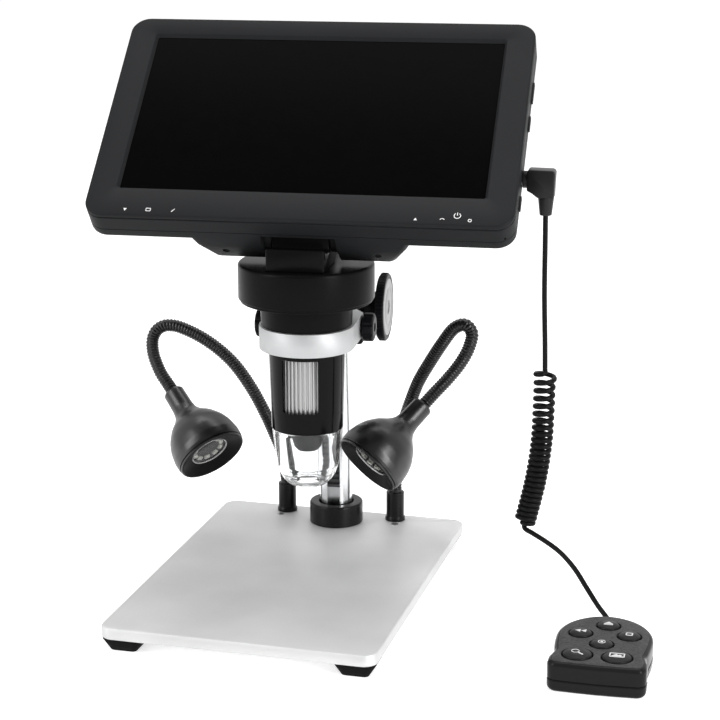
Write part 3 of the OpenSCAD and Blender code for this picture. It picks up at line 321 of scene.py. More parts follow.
@dataclass(frozen=True)
class Finish:
    """A finish that a maker would order: colour, gloss, grain, and the record's slot that it belongs to."""

    name: str
    slot: str
    colour: Colour
    roughness: float
    grain: Grain
    metallic: float = 0.0
    specular: float = 0.5
    clear: float = 0.0
    ior: float = 1.5

    def material(self) -> bpy.types.Material:
        """The finish as a Blender material, made once.

        Returns:
            A Principled BSDF with noise in its colour, gloss and bump, on Object coordinates.
        """
        label = f"finish_{self.name}"
        known = bpy.data.materials.get(label)
        if known:
            return known
        material = bpy.data.materials.new(label)
        material.use_nodes = True
        material.diffuse_color = (*self.colour, 1.0)
        wiring = Wiring(material.node_tree)
        texture = self.grain.value
        place = wiring.add("ShaderNodeTexCoord").outputs["Object"]
        stretch = wiring.add("ShaderNodeMapping", Scale=texture.cells, Vector=place)
        fine = wiring.add("ShaderNodeTexNoise", Scale=1.0, Detail=3.0, Vector=stretch.outputs["Vector"])
        broad = wiring.add("ShaderNodeTexNoise", Scale=texture.broad, Detail=2.0, Vector=place)
        bump = wiring.add(
            "ShaderNodeBump", Strength=texture.bump, Distance=texture.depth, Height=fine.outputs["Fac"]
        )
        wiring.feed(
            material.node_tree.nodes["Principled BSDF"], Metallic=self.metallic,
            Specular_IOR_Level=self.specular, Transmission_Weight=self.clear, IOR=self.ior,
            Base_Color=self._tinted(wiring, broad), Roughness=self._gloss(wiring, fine),
            Normal=bump.outputs["Normal"],
        )
        return material

    def _tinted(self, wiring: Wiring, noise: bpy.types.Node) -> bpy.types.NodeSocket:
        """The colour, which wanders a little about its own value with the noise.

        Args:
            wiring: the material's wiring.
            noise: the broad noise.

        Returns:
            What goes in at Base Color.
        """
        tint = self.grain.value.tint
        ramp = wiring.add("ShaderNodeValToRGB", Fac=noise.outputs["Fac"])
        low, high = ramp.color_ramp.elements
        low.position, high.position = NOISE_LOW, NOISE_HIGH
        low.color = (*[c * (1 - tint) for c in self.colour], 1.0)
        high.color = (*[min(1.0, c * (1 + tint)) for c in self.colour], 1.0)
        return ramp.outputs["Color"]

    def _gloss(self, wiring: Wiring, noise: bpy.types.Node) -> bpy.types.NodeSocket:
        """The roughness, which wanders a little about its own value with the noise.

        Args:
            wiring: the material's wiring.
            noise: the fine noise.

        Returns:
            What goes in at Roughness.
        """
        spread = self.grain.value.roughness
        return wiring.add(
            "ShaderNodeMapRange", From_Min=NOISE_LOW, From_Max=NOISE_HIGH, Value=noise.outputs["Fac"],
            To_Min=max(0.0, self.roughness - spread), To_Max=min(1.0, self.roughness + spread),
        ).outputs["Result"]


def grey(level: float) -> Colour:
    """A colour without hue."""
    return level, level, level


PLATE = Finish("blasted_aluminium", "plate_aluminium", grey(0.66), 0.55, Grain.BLASTED, metallic=0.5)
FOOT = Finish("foot_rubber", "foot_rubber", grey(0.006), 0.7, Grain.RUBBER, specular=0.05)
COLUMN = Finish("ground_steel", "column_steel", (0.72, 0.73, 0.74), 0.2, Grain.TURNED, metallic=1.0)
SCREW = Finish("screw_steel", "screw_steel", (0.5, 0.5, 0.51), 0.35, Grain.SATIN, metallic=1.0)
PIN = Finish("pin_steel", "pin_steel", (0.55, 0.55, 0.56), 0.3, Grain.TURNED, metallic=1.0)
RACK = Finish("rack_steel", "rack_steel", (0.07, 0.07, 0.073), 0.45, Grain.SATIN, metallic=0.7)
BLACK_METAL = Finish("black_anodised", "black_metal", grey(0.006), 0.3, Grain.SATIN, specular=0.2)
CAP_PLASTIC = Finish("cap_plastic", "black_plastic", grey(0.008), 0.42, Grain.MOULDED, specular=0.15)
CARRIAGE = Finish("carriage_paint", "carriage_black", grey(0.007), 0.42, Grain.MOULDED, specular=0.07)
LINER = Finish("liner_nylon", "liner_nylon", (0.62, 0.6, 0.54), 0.5, Grain.SATIN)
RING = Finish("turned_aluminium", "ring_aluminium", (0.52, 0.525, 0.53), 0.55, Grain.TURNED, metallic=0.6)
KNOB = Finish("knob_black", "knob_black", (0.006, 0.006, 0.007), 0.36, Grain.MOULDED, specular=0.07)
KNOB_FACE = Finish("knob_silver", "knob_silver", grey(0.22), 0.3, Grain.SATIN, metallic=1.0)
HEAD = Finish("head_black", "head_black", grey(0.004), 0.3, Grain.SATIN, specular=0.05)
BARREL = Finish("barrel_black", "barrel_black", grey(0.003), 0.12, Grain.GLOSSY, specular=0.08)
WHEEL = Finish("wheel_silver", "wheel_silver", grey(0.42), 0.36, Grain.BRUSHED, metallic=0.7)
NOSE = Finish("lens_black", "lens_black", (0.022, 0.022, 0.023), 0.4, Grain.SATIN, specular=0.1)
GLASS = Finish("lens_glass", "lens_glass", (0.8, 0.86, 0.95), 0.02, Grain.CLEAR, clear=1.0, ior=1.6)
CLEAR = Finish("clear_acrylic", "clear_plastic", (0.97, 0.975, 0.98), 0.05, Grain.CLEAR, clear=1.0, ior=1.3)
BOARD = Finish("board_green", "circuit_board", (0.01, 0.06, 0.025), 0.45, Grain.BOARD)
LED_BOARD = Finish("led_board_white", "led_board", (0.75, 0.75, 0.72), 0.5, Grain.SATIN)
HOUSING = Finish("housing_black", "housing_black", (0.0145, 0.015, 0.016), 0.46, Grain.MOULDED, specular=0.07)
SCREEN_GLASS = Finish("screen_glass", "screen_black", grey(0.0015), 0.16, Grain.GLOSSY, specular=0.01)
MARK = Finish("mark_white", "housing_black", grey(0.72), 0.5, Grain.SATIN)
BATTERY = Finish("battery_wrap", "battery_wrap", (0.05, 0.16, 0.5), 0.3, Grain.SATIN)
CORD_JACKET = Finish("cord_jacket", "cord_black", grey(0.006), 0.4, Grain.SATIN, specular=0.08)
PLUG = Finish("plug_black", "plug_black", grey(0.011), 0.38, Grain.SATIN, specular=0.2)
REMOTE_TOP = Finish("remote_grey", "remote_grey", grey(0.05), 0.42, Grain.LEATHER, specular=0.1)
REMOTE_UNDER = Finish("remote_black", "remote_grey", grey(0.012), 0.2, Grain.GLOSSY, specular=0.08)
KEY = Finish("key_black", "key_black", (0.014, 0.014, 0.015), 0.36, Grain.MOULDED, specular=0.12)
KEY_MARK = Finish("key_white", "key_black", grey(0.7), 0.5, Grain.SATIN)
GOOSE = Finish("goose_black", "goose_black", grey(0.005), 0.3, Grain.SATIN, specular=0.4)
LAMP = Finish("lamp_black", "lamp_black", grey(0.005), 0.33, Grain.SATIN, specular=0.6)
LAMP_MASK = Finish("lamp_mask", "lamp_lens", grey(0.006), 0.35, Grain.SATIN, specular=0.1)
LAMP_RIM = Finish("lamp_rim", "lamp_lens", grey(0.6), 0.2, Grain.TURNED, metallic=1.0)
LED = Finish("led_white", "lamp_lens", (0.85, 0.84, 0.76), 0.4, Grain.SATIN)


# ---- Shapes ----


class Shape:
    """A closed mesh drawn in millimetres, before it is put in its place on the microscope."""

    def __init__(self, points: Iterable[Sequence[float]], faces: Iterable[Sequence[int]]) -> None:
        """Makes the mesh and points its faces outwards."""
        self.mesh = bpy.data.meshes.new("shape")
        self.mesh.from_pydata([tuple(p) for p in points], [], [tuple(f) for f in faces])
        self._tidy()

    def _tidy(self, weld: float = WELD) -> None:
        """Welds double points and points the faces outwards.

        Args:
            weld: distance under which points are one.
        """
        work = bmesh.new()
        work.from_mesh(self.mesh)
        bmesh.ops.remove_doubles(work, verts=work.verts, dist=weld)
        bmesh.ops.recalc_face_normals(work, faces=work.faces)
        work.to_mesh(self.mesh)
        work.free()

    @classmethod
    def lathe(cls, profile: Profile, sides: int = 96, step: float = 15.0) -> "Shape":
        """Turns a closed profile about Z.

        Args:
            profile: corners as (radius, height) or (radius, height, fillet).
            sides: flats of the turned piece.
            step: degrees of arc a segment of a fillet covers.

        Returns:
            The turned shape.
        """
        points, rows = [], []
        for radius, height in rounded(profile, step):
            if radius < ON_AXIS:
                rows.append([len(points)] * sides)
                points.append((0.0, 0.0, height))
                continue
            rows.append(list(range(len(points), len(points) + sides)))
            points += at_height(circle(radius, sides), height)
        faces = []
        for low, high in zip(rows, rows[1:] + rows[:1]):
            for k in range(sides):
                n = (k + 1) % sides
                face = list(dict.fromkeys((low[k], low[n], high[n], high[k])))
                if len(face) > 2:
                    faces.append(face)
        return cls(points, faces)

    @classmethod
    def loft(cls, rings: Sequence[Sequence[Sequence[float]]], hollow: bool = False) -> "Shape":
        """Skins rings that have as many points each.

        Args:
            rings: rings of (x, y, z) points, in order.
            hollow: joins the last ring to the first in place of the two end caps.

        Returns:
            The skinned shape.
        """
        count, last = len(rings[0]), len(rings) - 1
        pairs = [(i, i + 1) for i in range(last)] + ([(last, 0)] if hollow else [])
        faces = [
            (a * count + k, a * count + (k + 1) % count, b * count + (k + 1) % count, b * count + k)
            for a, b in pairs
            for k in range(count)
        ]
        if not hollow:
            faces.append(tuple(range(count - 1, -1, -1)))
            faces.append(tuple(range(last * count, (last + 1) * count)))
        return cls([p for ring in rings for p in ring], faces)

    @classmethod
    def prism(cls, outline: Outline, low: float, high: float) -> "Shape":
        """Raises an outline from height low to height high."""
        return cls.loft([at_height(outline, z) for z in (low, high)])

    @classmethod
    def box(cls, low: Sequence[float], high: Sequence[float]) -> "Shape":
        """A box from its lowest to its highest corner."""
        (x0, y0, z0), (x1, y1, z1) = low, high
        return cls.prism([(x0, y0), (x1, y0), (x1, y1), (x0, y1)], z0, z1)

    @classmethod
    def rod(cls, radius: float, low: float, high: float, round_by: float = 0.0, sides: int = 64) -> "Shape":
        """A round bar along Z with its edges rounded."""
        return cls.lathe([(0, low), (radius, low, round_by), (radius, high, round_by), (0, high)], sides)

    @classmethod
    def tube(cls, path: Sequence[Vector], radius: float, sides: int = 12) -> "Shape":
        """Sweeps a circle along a path without twist.

        Args:
            path: the centreline.
            radius: the tube's radius.
            sides: flats of the tube.

        Returns:
            The swept shape.
        """
        rings = []
        side: Optional[Vector] = None
        for i, here in enumerate(path):
            heading = (path[min(i + 1, len(path) - 1)] - path[max(i - 1, 0)]).normalized()
            side = heading.orthogonal().normalized() if side is None else side
            side = (side - heading * side.dot(heading)).normalized()
            up = heading.cross(side)
            rings.append([here + (side * x + up * y) for x, y in circle(radius, sides)])
        return cls.loft(rings)

    def moved(self, matrix: Matrix) -> "Shape":
        """The same shape, moved by a matrix."""
        self.mesh.transform(matrix)
        return self

    def join(self, *others: "Shape") -> "Shape":
        """Adds other shapes that don't touch this one, or only lie on it."""
        work = bmesh.new()
        for shape in (self, *others):
            work.from_mesh(shape.mesh)
        work.to_mesh(self.mesh)
        work.free()
        return self

    def _run(self, kind: str, **settings: object) -> "Shape":
        """Runs one of Blender's modifiers on the mesh and keeps its result.

        Args:
            kind: the modifier's type.
            settings: its properties.

        Returns:
            The same shape.
        """
        host = link("host", self.mesh)
        modifier = host.modifiers.new(kind, kind)
        for name, value in settings.items():
            setattr(modifier, name, value)
        self.mesh = settle(host)
        return self

    def combine(self, operation: str, *others: "Shape") -> "Shape":
        """Combines this shape with others, one by one.

        Args:
            operation: UNION, DIFFERENCE or INTERSECT.
            others: the other shapes.

        Returns:
            The same shape.
        """
        for other in others:
            tool = link("tool", other.mesh)
            self._run("BOOLEAN", operation=operation, object=tool, solver="EXACT")
            bpy.data.objects.remove(tool)
        return self

    def cut(self, *others: "Shape") -> "Shape":
        """Cuts the other shapes out of this one."""
        return self.combine("DIFFERENCE", *others)

    def cross(self, half: float, wide: float, low: float, high: float) -> "Shape":
        """Cuts a screw's crossed slot of those half length, half width and heights."""
        for x, y in ((half, wide), (wide, half)):
            self.cut(Shape.box((-x, -y, low), (x, y, high)))
        return self

    def unite(self, *others: "Shape") -> "Shape":
        """Unites this shape with others that reach into it."""
        return self.combine("UNION", *others)

    def bevel(self, width: float, segments: int = 2, angle: float = 32.0) -> "Shape":
        """Rounds every edge that is sharper than angle.

        Args:
            width: width of the rounding.
            segments: its segments.
            angle: the least angle of an edge, in degrees.

        Returns:
            The same shape.
        """
        self._tidy(BEVEL_WELD)
        self.mesh.shade_smooth()
        return self._run(
            "BEVEL", width=width, segments=segments, limit_method="ANGLE", angle_limit=math.radians(angle),
            harden_normals=True, miter_outer="MITER_ARC",
        )

    def place(
        self, name: str, spot: Matrix, body: Optional[str], finish: Finish,
        sharp: Optional[float] = 35.0, node: Optional[str] = None,
    ) -> bpy.types.Object:
        """Puts the shape on the microscope.

        Args:
            name: the piece's name.
            spot: the frame that it was drawn in.
            body: the CAD body that it rides on, or None for a piece that rides on none.
            finish: its finish.
            sharp: angle above which an edge stays sharp, or None to keep the bevel's own normals.
            node: the CAD node that it stands for.

        Returns:
            The piece, with its object at the origin.
        """
        mesh = self.mesh
        mesh.transform(spot)
        if sharp is not None:
            mesh.shade_smooth()
            mesh.set_sharp_from_angle(angle=math.radians(sharp))
        mesh.name = name
        mesh.materials.clear()
        mesh.materials.append(finish.material())
        piece = link(name, mesh)
        if body:
            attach(piece, body)
        if node:
            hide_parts(node)
        LOG.info("%s: %d faces, rides on %s", name, len(mesh.polygons), body)
        return piece

    def stand_for(
        self, node: str, ending: str, spot: Matrix, body: Optional[str], finish: Finish,
        sharp: Optional[float] = 35.0,
    ) -> bpy.types.Object:
        """Places the shape for a CAD node, under that node's name with an ending."""
        return self.place(f"{node}_{ending}", spot, body, finish, sharp, node)


def repaint(node: str, finish: Finish) -> None:
    """Gives a CAD node that stays in sight a finish of its own.

    Args:
        node: the node's name.
        finish: its finish.
    """
    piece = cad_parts[node]
    piece.data.materials.clear()
    piece.data.materials.append(finish.material())
    LOG.info("%s: kept from the frame", node)


# ---- Geometry Nodes ----


class Tree(Wiring):
    """A Geometry Nodes tree with named inputs that is run once, so that plain mesh is left."""

    def __init__(self, name: str, **inputs: str) -> None:
        """Makes an empty tree.

        Args:
            name: the tree's name.
            inputs: the kind of each named input besides the geometry and the material.
        """
        super().__init__(bpy.data.node_groups.new(name, "GeometryNodeTree"))
        face = self.tree.interface
        face.new_socket("Geometry", in_out="OUTPUT", socket_type="NodeSocketGeometry")
        for label, kind in {"Geometry": "Geometry", **inputs, "Material": "Material"}.items():
            face.new_socket(label, in_out="INPUT", socket_type=f"NodeSocket{kind}")
        self.given = self.tree.nodes.new("NodeGroupInput").outputs

    def work_out(self, operation: str, *values: object) -> bpy.types.NodeSocket:
        """The result of one or two values."""
        return self.sum(operation, *values).outputs[0]

    def close(self, geometry: bpy.types.Node) -> None:
        """Ends the tree in Realize Instances and Set Material."""
        real = self.add("GeometryNodeRealizeInstances", Geometry=geometry.outputs[0])
        finish = self.given["Material"]
        painted = self.add("GeometryNodeSetMaterial", Geometry=real.outputs[0], Material=finish)
        self.add("NodeGroupOutput", Geometry=painted.outputs[0])

    def run(
        self, host_mesh: bpy.types.Mesh, finish: Finish, item: Optional[Shape] = None, **values: object
    ) -> Shape:
        """Runs the tree on a mesh.

        Args:
            host_mesh: what goes in at Geometry.
            finish: what goes in at Material.
            item: what goes in at Item, for a tree that copies one.
            values: the value of each other named input.

        Returns:
            The result as a shape.
        """
        values["Material"] = finish.material()
        if item:
            values["Item"] = link("item", item.mesh)
        host = link("host", host_mesh)
        modifier = host.modifiers.new("tree", "NODES")
        modifier.node_group = self.tree
        sockets = {face.name: face for face in self.tree.interface.items_tree if face.in_out == "INPUT"}
        for label, value in values.items():
            modifier[sockets[label].identifier] = value
        host.update_tag()
        shape = Shape([], [])
        shape.mesh = settle(host)
        if item:
            bpy.data.objects.remove(values["Item"])
        return shape


class RingOfCopies(Tree):
    """Sets copies of one item evenly round a circle about Z, each turned to face outwards."""

    def __init__(self) -> None:
        """Builds the tree."""
        super().__init__("ring_of_copies", Item="Object", Count="Int", Radius="Float", Phase="Float")
        ring = self.add("GeometryNodeMeshCircle", Vertices=self.given["Count"], Radius=self.given["Radius"])
        item = self.add("GeometryNodeObjectInfo", Object=self.given["Item"])
        number = self.add("GeometryNodeInputIndex").outputs[0]
        angle = self.work_out("MULTIPLY", self.work_out("DIVIDE", number, self.given["Count"]), 2 * math.pi)
        facing = self.add("ShaderNodeCombineXYZ", Z=angle)
        copies = self.add(
            "GeometryNodeInstanceOnPoints", Points=ring.outputs[0], Instance=item.outputs["Geometry"],
            Rotation=facing.outputs[0],
        )
        start = self.add("ShaderNodeCombineXYZ", Z=self.given["Phase"])
        self.close(self.add("GeometryNodeTransform", Geometry=copies.outputs[0], Rotation=start.outputs[0]))

    def make(self, item: Shape, count: int, radius: float, finish: Finish, phase: float = 0.0) -> Shape:
        """Rings count copies of item at that radius, the first at phase degrees."""
        empty = bpy.data.meshes.new("empty")
        return self.run(empty, finish, item, Count=count, Radius=radius, Phase=math.radians(phase))


class CopiesAtPoints(Tree):
    """Sets a copy of one item at every point of a mesh."""

    def __init__(self) -> None:
        """Builds the tree."""
        super().__init__("copies_at_points", Item="Object")
        item = self.add("GeometryNodeObjectInfo", Object=self.given["Item"])
        self.close(self.add(
            "GeometryNodeInstanceOnPoints", Points=self.given["Geometry"], Instance=item.outputs["Geometry"]
        ))

    def make(self, item: Shape, places: Iterable[Sequence[float]], finish: Finish) -> Shape:
        """Sets a copy of item at each (x, y) place."""
        points = bpy.data.meshes.new("places")
        points.from_pydata(at_height(places, 0), [], [])
        return self.run(points, finish, item)


class RibbedTube(Tree):
    """Follows a path with a round tube whose surface swells in even ribs."""

    RINGS_A_RIB = 6
    SIDES = 20

    def __init__(self) -> None:
        """Builds the tree."""
        super().__init__("ribbed_tube", Radius="Float", Rib="Float", Pitch="Float", Rings="Int", Sides="Int")
        line = self.add("GeometryNodeMeshToCurve", Mesh=self.given["Geometry"])
        even = self.add("GeometryNodeResampleCurve", Curve=line.outputs[0], Count=self.given["Rings"])
        reached = self.add("GeometryNodeSplineParameter").outputs["Length"]
        phase = self.work_out("MULTIPLY", self.work_out("DIVIDE", reached, self.given["Pitch"]), math.pi)
        wave = self.work_out("ABSOLUTE", self.work_out("SINE", phase))
        swell = self.work_out("MULTIPLY", wave, self.given["Rib"])
        bare = self.work_out("SUBTRACT", self.given["Radius"], self.given["Rib"])
        profile = self.add("GeometryNodeCurvePrimitiveCircle", Resolution=self.given["Sides"], Radius=1.0)
        self.close(self.add(
            "GeometryNodeCurveToMesh", Curve=even.outputs[0], Profile_Curve=profile.outputs[0],
            Scale=self.work_out("ADD", swell, bare), Fill_Caps=True,
        ))

    def make(self, path: Sequence[Vector], radius: float, rib: float, pitch: float, finish: Finish) -> Shape:
        """Runs the tube along path, with ribs of that height and pitch.

        Args:
            path: the centreline.
            radius: radius over the ribs.
            rib: height of a rib.
            pitch: length of a rib.
            finish: its finish.

        Returns:
            The tube.
        """
        line = bpy.data.meshes.new("line")
        line.from_pydata([tuple(p) for p in path], [(i, i + 1) for i in range(len(path) - 1)], [])
        rings = int(path_length(path) / pitch * self.RINGS_A_RIB)
        return self.run(line, finish, Radius=radius, Rib=rib, Pitch=pitch, Rings=rings, Sides=self.SIDES)


@dataclass
class Workshop:
    """The Geometry Nodes trees that the sub-assemblies share."""

    ring: RingOfCopies = field(default_factory=RingOfCopies)
    points: CopiesAtPoints = field(default_factory=CopiesAtPoints)
    ribs: RibbedTube = field(default_factory=RibbedTube)


WORKSHOP = Workshop()


@dataclass(frozen=True)
class Stamp:
    """Draws thin printed marks between two heights."""

    low: float
    high: float
    half_stroke: float = 0.16
    arc_steps: int = 20

    def fill(self, *corners: tuple[float, float]) -> Shape:
        """A printed area."""
        return Shape.prism(list(corners), self.low, self.high)

    def bar(self, start: Sequence[float], end: Sequence[float], width: float) -> Shape:
        """A printed stroke.

        Args:
            start: where it starts.
            end: where it ends.
            width: its whole width.

        Returns:
            The stroke.
        """
        a, b = Vector(start), Vector(end)
        along_it = (b - a).normalized() * (width / 2)
        side = Vector((-along_it.y, along_it.x))
        return self.fill(tuple(a - side), tuple(b - side), tuple(b + side), tuple(a + side))

    def arc(self, centre: Sequence[float], radius: float, first: float = 0, last: float = 360) -> Shape:
        """A printed arc from one angle to another, in degrees.

        Args:
            centre: its centre.
            radius: radius of its middle line.
            first: where it starts, in degrees.
            last: where it ends, in degrees.

        Returns:
            The arc.
        """
        rings, half, steps = [], self.half_stroke, self.arc_steps
        for angle in (math.radians(first + (last - first) * k / steps) for k in range(steps + 1)):
            outer, inner = around(centre, radius + half, angle), around(centre, radius - half, angle)
            rings.append([(*outer, self.low), (*outer, self.high), (*inner, self.high), (*inner, self.low)])
        return Shape.loft(rings)

    def frame(self, low: Sequence[float], high: Sequence[float], width: float) -> list[Shape]:
        """The four strokes of a rectangle between its lowest and its highest corner."""
        corners = [(low[0], low[1]), (high[0], low[1]), (high[0], high[1]), (low[0], high[1])]
        return [self.bar(a, b, width) for a, b in zip(corners, corners[1:] + corners[:1])]


# ---- Studio ----


@dataclass(frozen=True)
class Softbox:
    """A soft light that hangs at a place and looks at a target."""

    name: str
    place: tuple[float, float, float]
    target: tuple[float, float, float]
    size: tuple[float, float]
    watts: float

    def hang(self) -> None:
        """Hangs the light."""
        data = bpy.data.lights.new(self.name, "AREA")
        data.shape, data.size, data.size_y = "RECTANGLE", *self.size
        data.energy = self.watts
        light = link(self.name, data)
        light.location = self.place
        light.rotation_euler = (Vector(self.target) - Vector(self.place)).to_track_quat("-Z", "Y").to_euler()


@dataclass
class Studio:
    """Camera, lights and the pale floor."""

    eye: tuple[float, float, float] = (0.2458, -0.7953, 0.3289)
    tilt: tuple[float, float, float] = (75.074, 0.057, 15.143)
    lens: float = 100.08
    room: float = 0.45
    front: float = 0.2
    towards_camera: tuple[float, float, float] = (0.25, -0.93, 0.26)
    wall_from: float = -0.1
    wall_to: float = 0.7
    floor_half: float = 4.0
    floor_white: float = 0.85
    floor_rough: float = 0.9
    floor_lift: float = 0.62
    lights: tuple[Softbox, ...] = (
        Softbox("key", (-0.95, -0.8, 0.72), (0.0, 0.0, 0.15), (0.45, 1.1), 10),
        Softbox("fill", (1.05, -0.6, 0.5), (0.02, 0.0, 0.12), (0.3, 0.9), 12),
        Softbox("top", (0.0, 0.35, 1.5), (0.0, 0.0, 0.1), (1.3, 0.6), 9),
    )

    def build(self) -> None:
        """Sets up the whole studio."""
        self._camera()
        self._world()
        self._floor()
        for light in self.lights:
            light.hang()
        bpy.context.scene.view_settings.view_transform = "Standard"

    def _camera(self) -> None:
        """Makes the camera."""
        data = bpy.data.cameras.new("camera")
        data.lens, data.sensor_width = self.lens, 36.0
        data.clip_start, data.clip_end = 0.01, 50.0
        camera = link("camera", data)
        camera.location = self.eye
        camera.rotation_euler = [math.radians(a) for a in self.tilt]
        bpy.context.scene.camera = camera

    @staticmethod
    def _lightest(wiring: Wiring, level: bpy.types.NodeSocket, *rays: str) -> bpy.types.NodeSocket:
        """Raises a level to one for the kinds of ray that are named.

        Args:
            wiring: the tree's wiring.
            level: the level for every other kind of ray.
            rays: outputs of the Light Path node.

        Returns:
            The level that is left.
        """
        path = wiring.add("ShaderNodeLightPath")
        for ray in rays:
            level = wiring.sum("MAXIMUM", level, path.outputs[ray]).outputs[0]
        return level

    def _seen(self, wiring: Wiring) -> bpy.types.NodeSocket:
        """One for what is looked at, mirrored or seen through clear pieces, and nought for what lights."""
        camera_ray = wiring.add("ShaderNodeLightPath").outputs["Is Camera Ray"]
        return self._lightest(wiring, camera_ray, "Is Glossy Ray", "Is Transmission Ray")

    def _world(self) -> None:
        """Makes a room that is white to look at, softer to be lit by, and dim in mirrors by the camera."""
        world = bpy.data.worlds.new("room")
        world.use_nodes = True
        wiring = Wiring(world.node_tree)
        heading = wiring.add("ShaderNodeTexCoord").outputs["Generated"]
        facing = wiring.sum("DOT_PRODUCT", heading, self.towards_camera, kind="ShaderNodeVectorMath")
        wall = wiring.add(
            "ShaderNodeMapRange", From_Min=self.wall_from, From_Max=self.wall_to, To_Min=1.0,
            To_Max=self.front, Value=facing.outputs["Value"],
        ).outputs["Result"]
        plain = self._lightest(wiring, wall, "Is Camera Ray", "Is Transmission Ray")
        level = wiring.add("ShaderNodeMix", A=self.room, Factor=self._seen(wiring), B=plain)
        background = world.node_tree.nodes["Background"]
        wiring.feed(background, Strength=level.outputs["Result"], Color=(1, 1, 1, 1))
        bpy.context.scene.world = world

    def _floor(self) -> None:
        """Lays the floor, which keeps the shadow."""
        half = self.floor_half
        corners = at_height([(-half, -half), (half, -half), (half, half), (-half, half)], 0)
        floor = Shape(corners, [(0, 1, 2, 3)]).mesh
        material = bpy.data.materials.new("floor_white")
        material.use_nodes = True
        wiring = Wiring(material.node_tree)
        lift = wiring.sum("MULTIPLY", self._seen(wiring), self.floor_lift)
        wiring.feed(
            material.node_tree.nodes["Principled BSDF"], Base_Color=(*grey(self.floor_white), 1),
            Roughness=self.floor_rough, Specular_IOR_Level=0.0, Emission_Color=(1, 1, 1, 1),
            Emission_Strength=lift.outputs[0],
        )
        floor.materials.append(material)
        link("floor", floor)


# ---- Cord ----


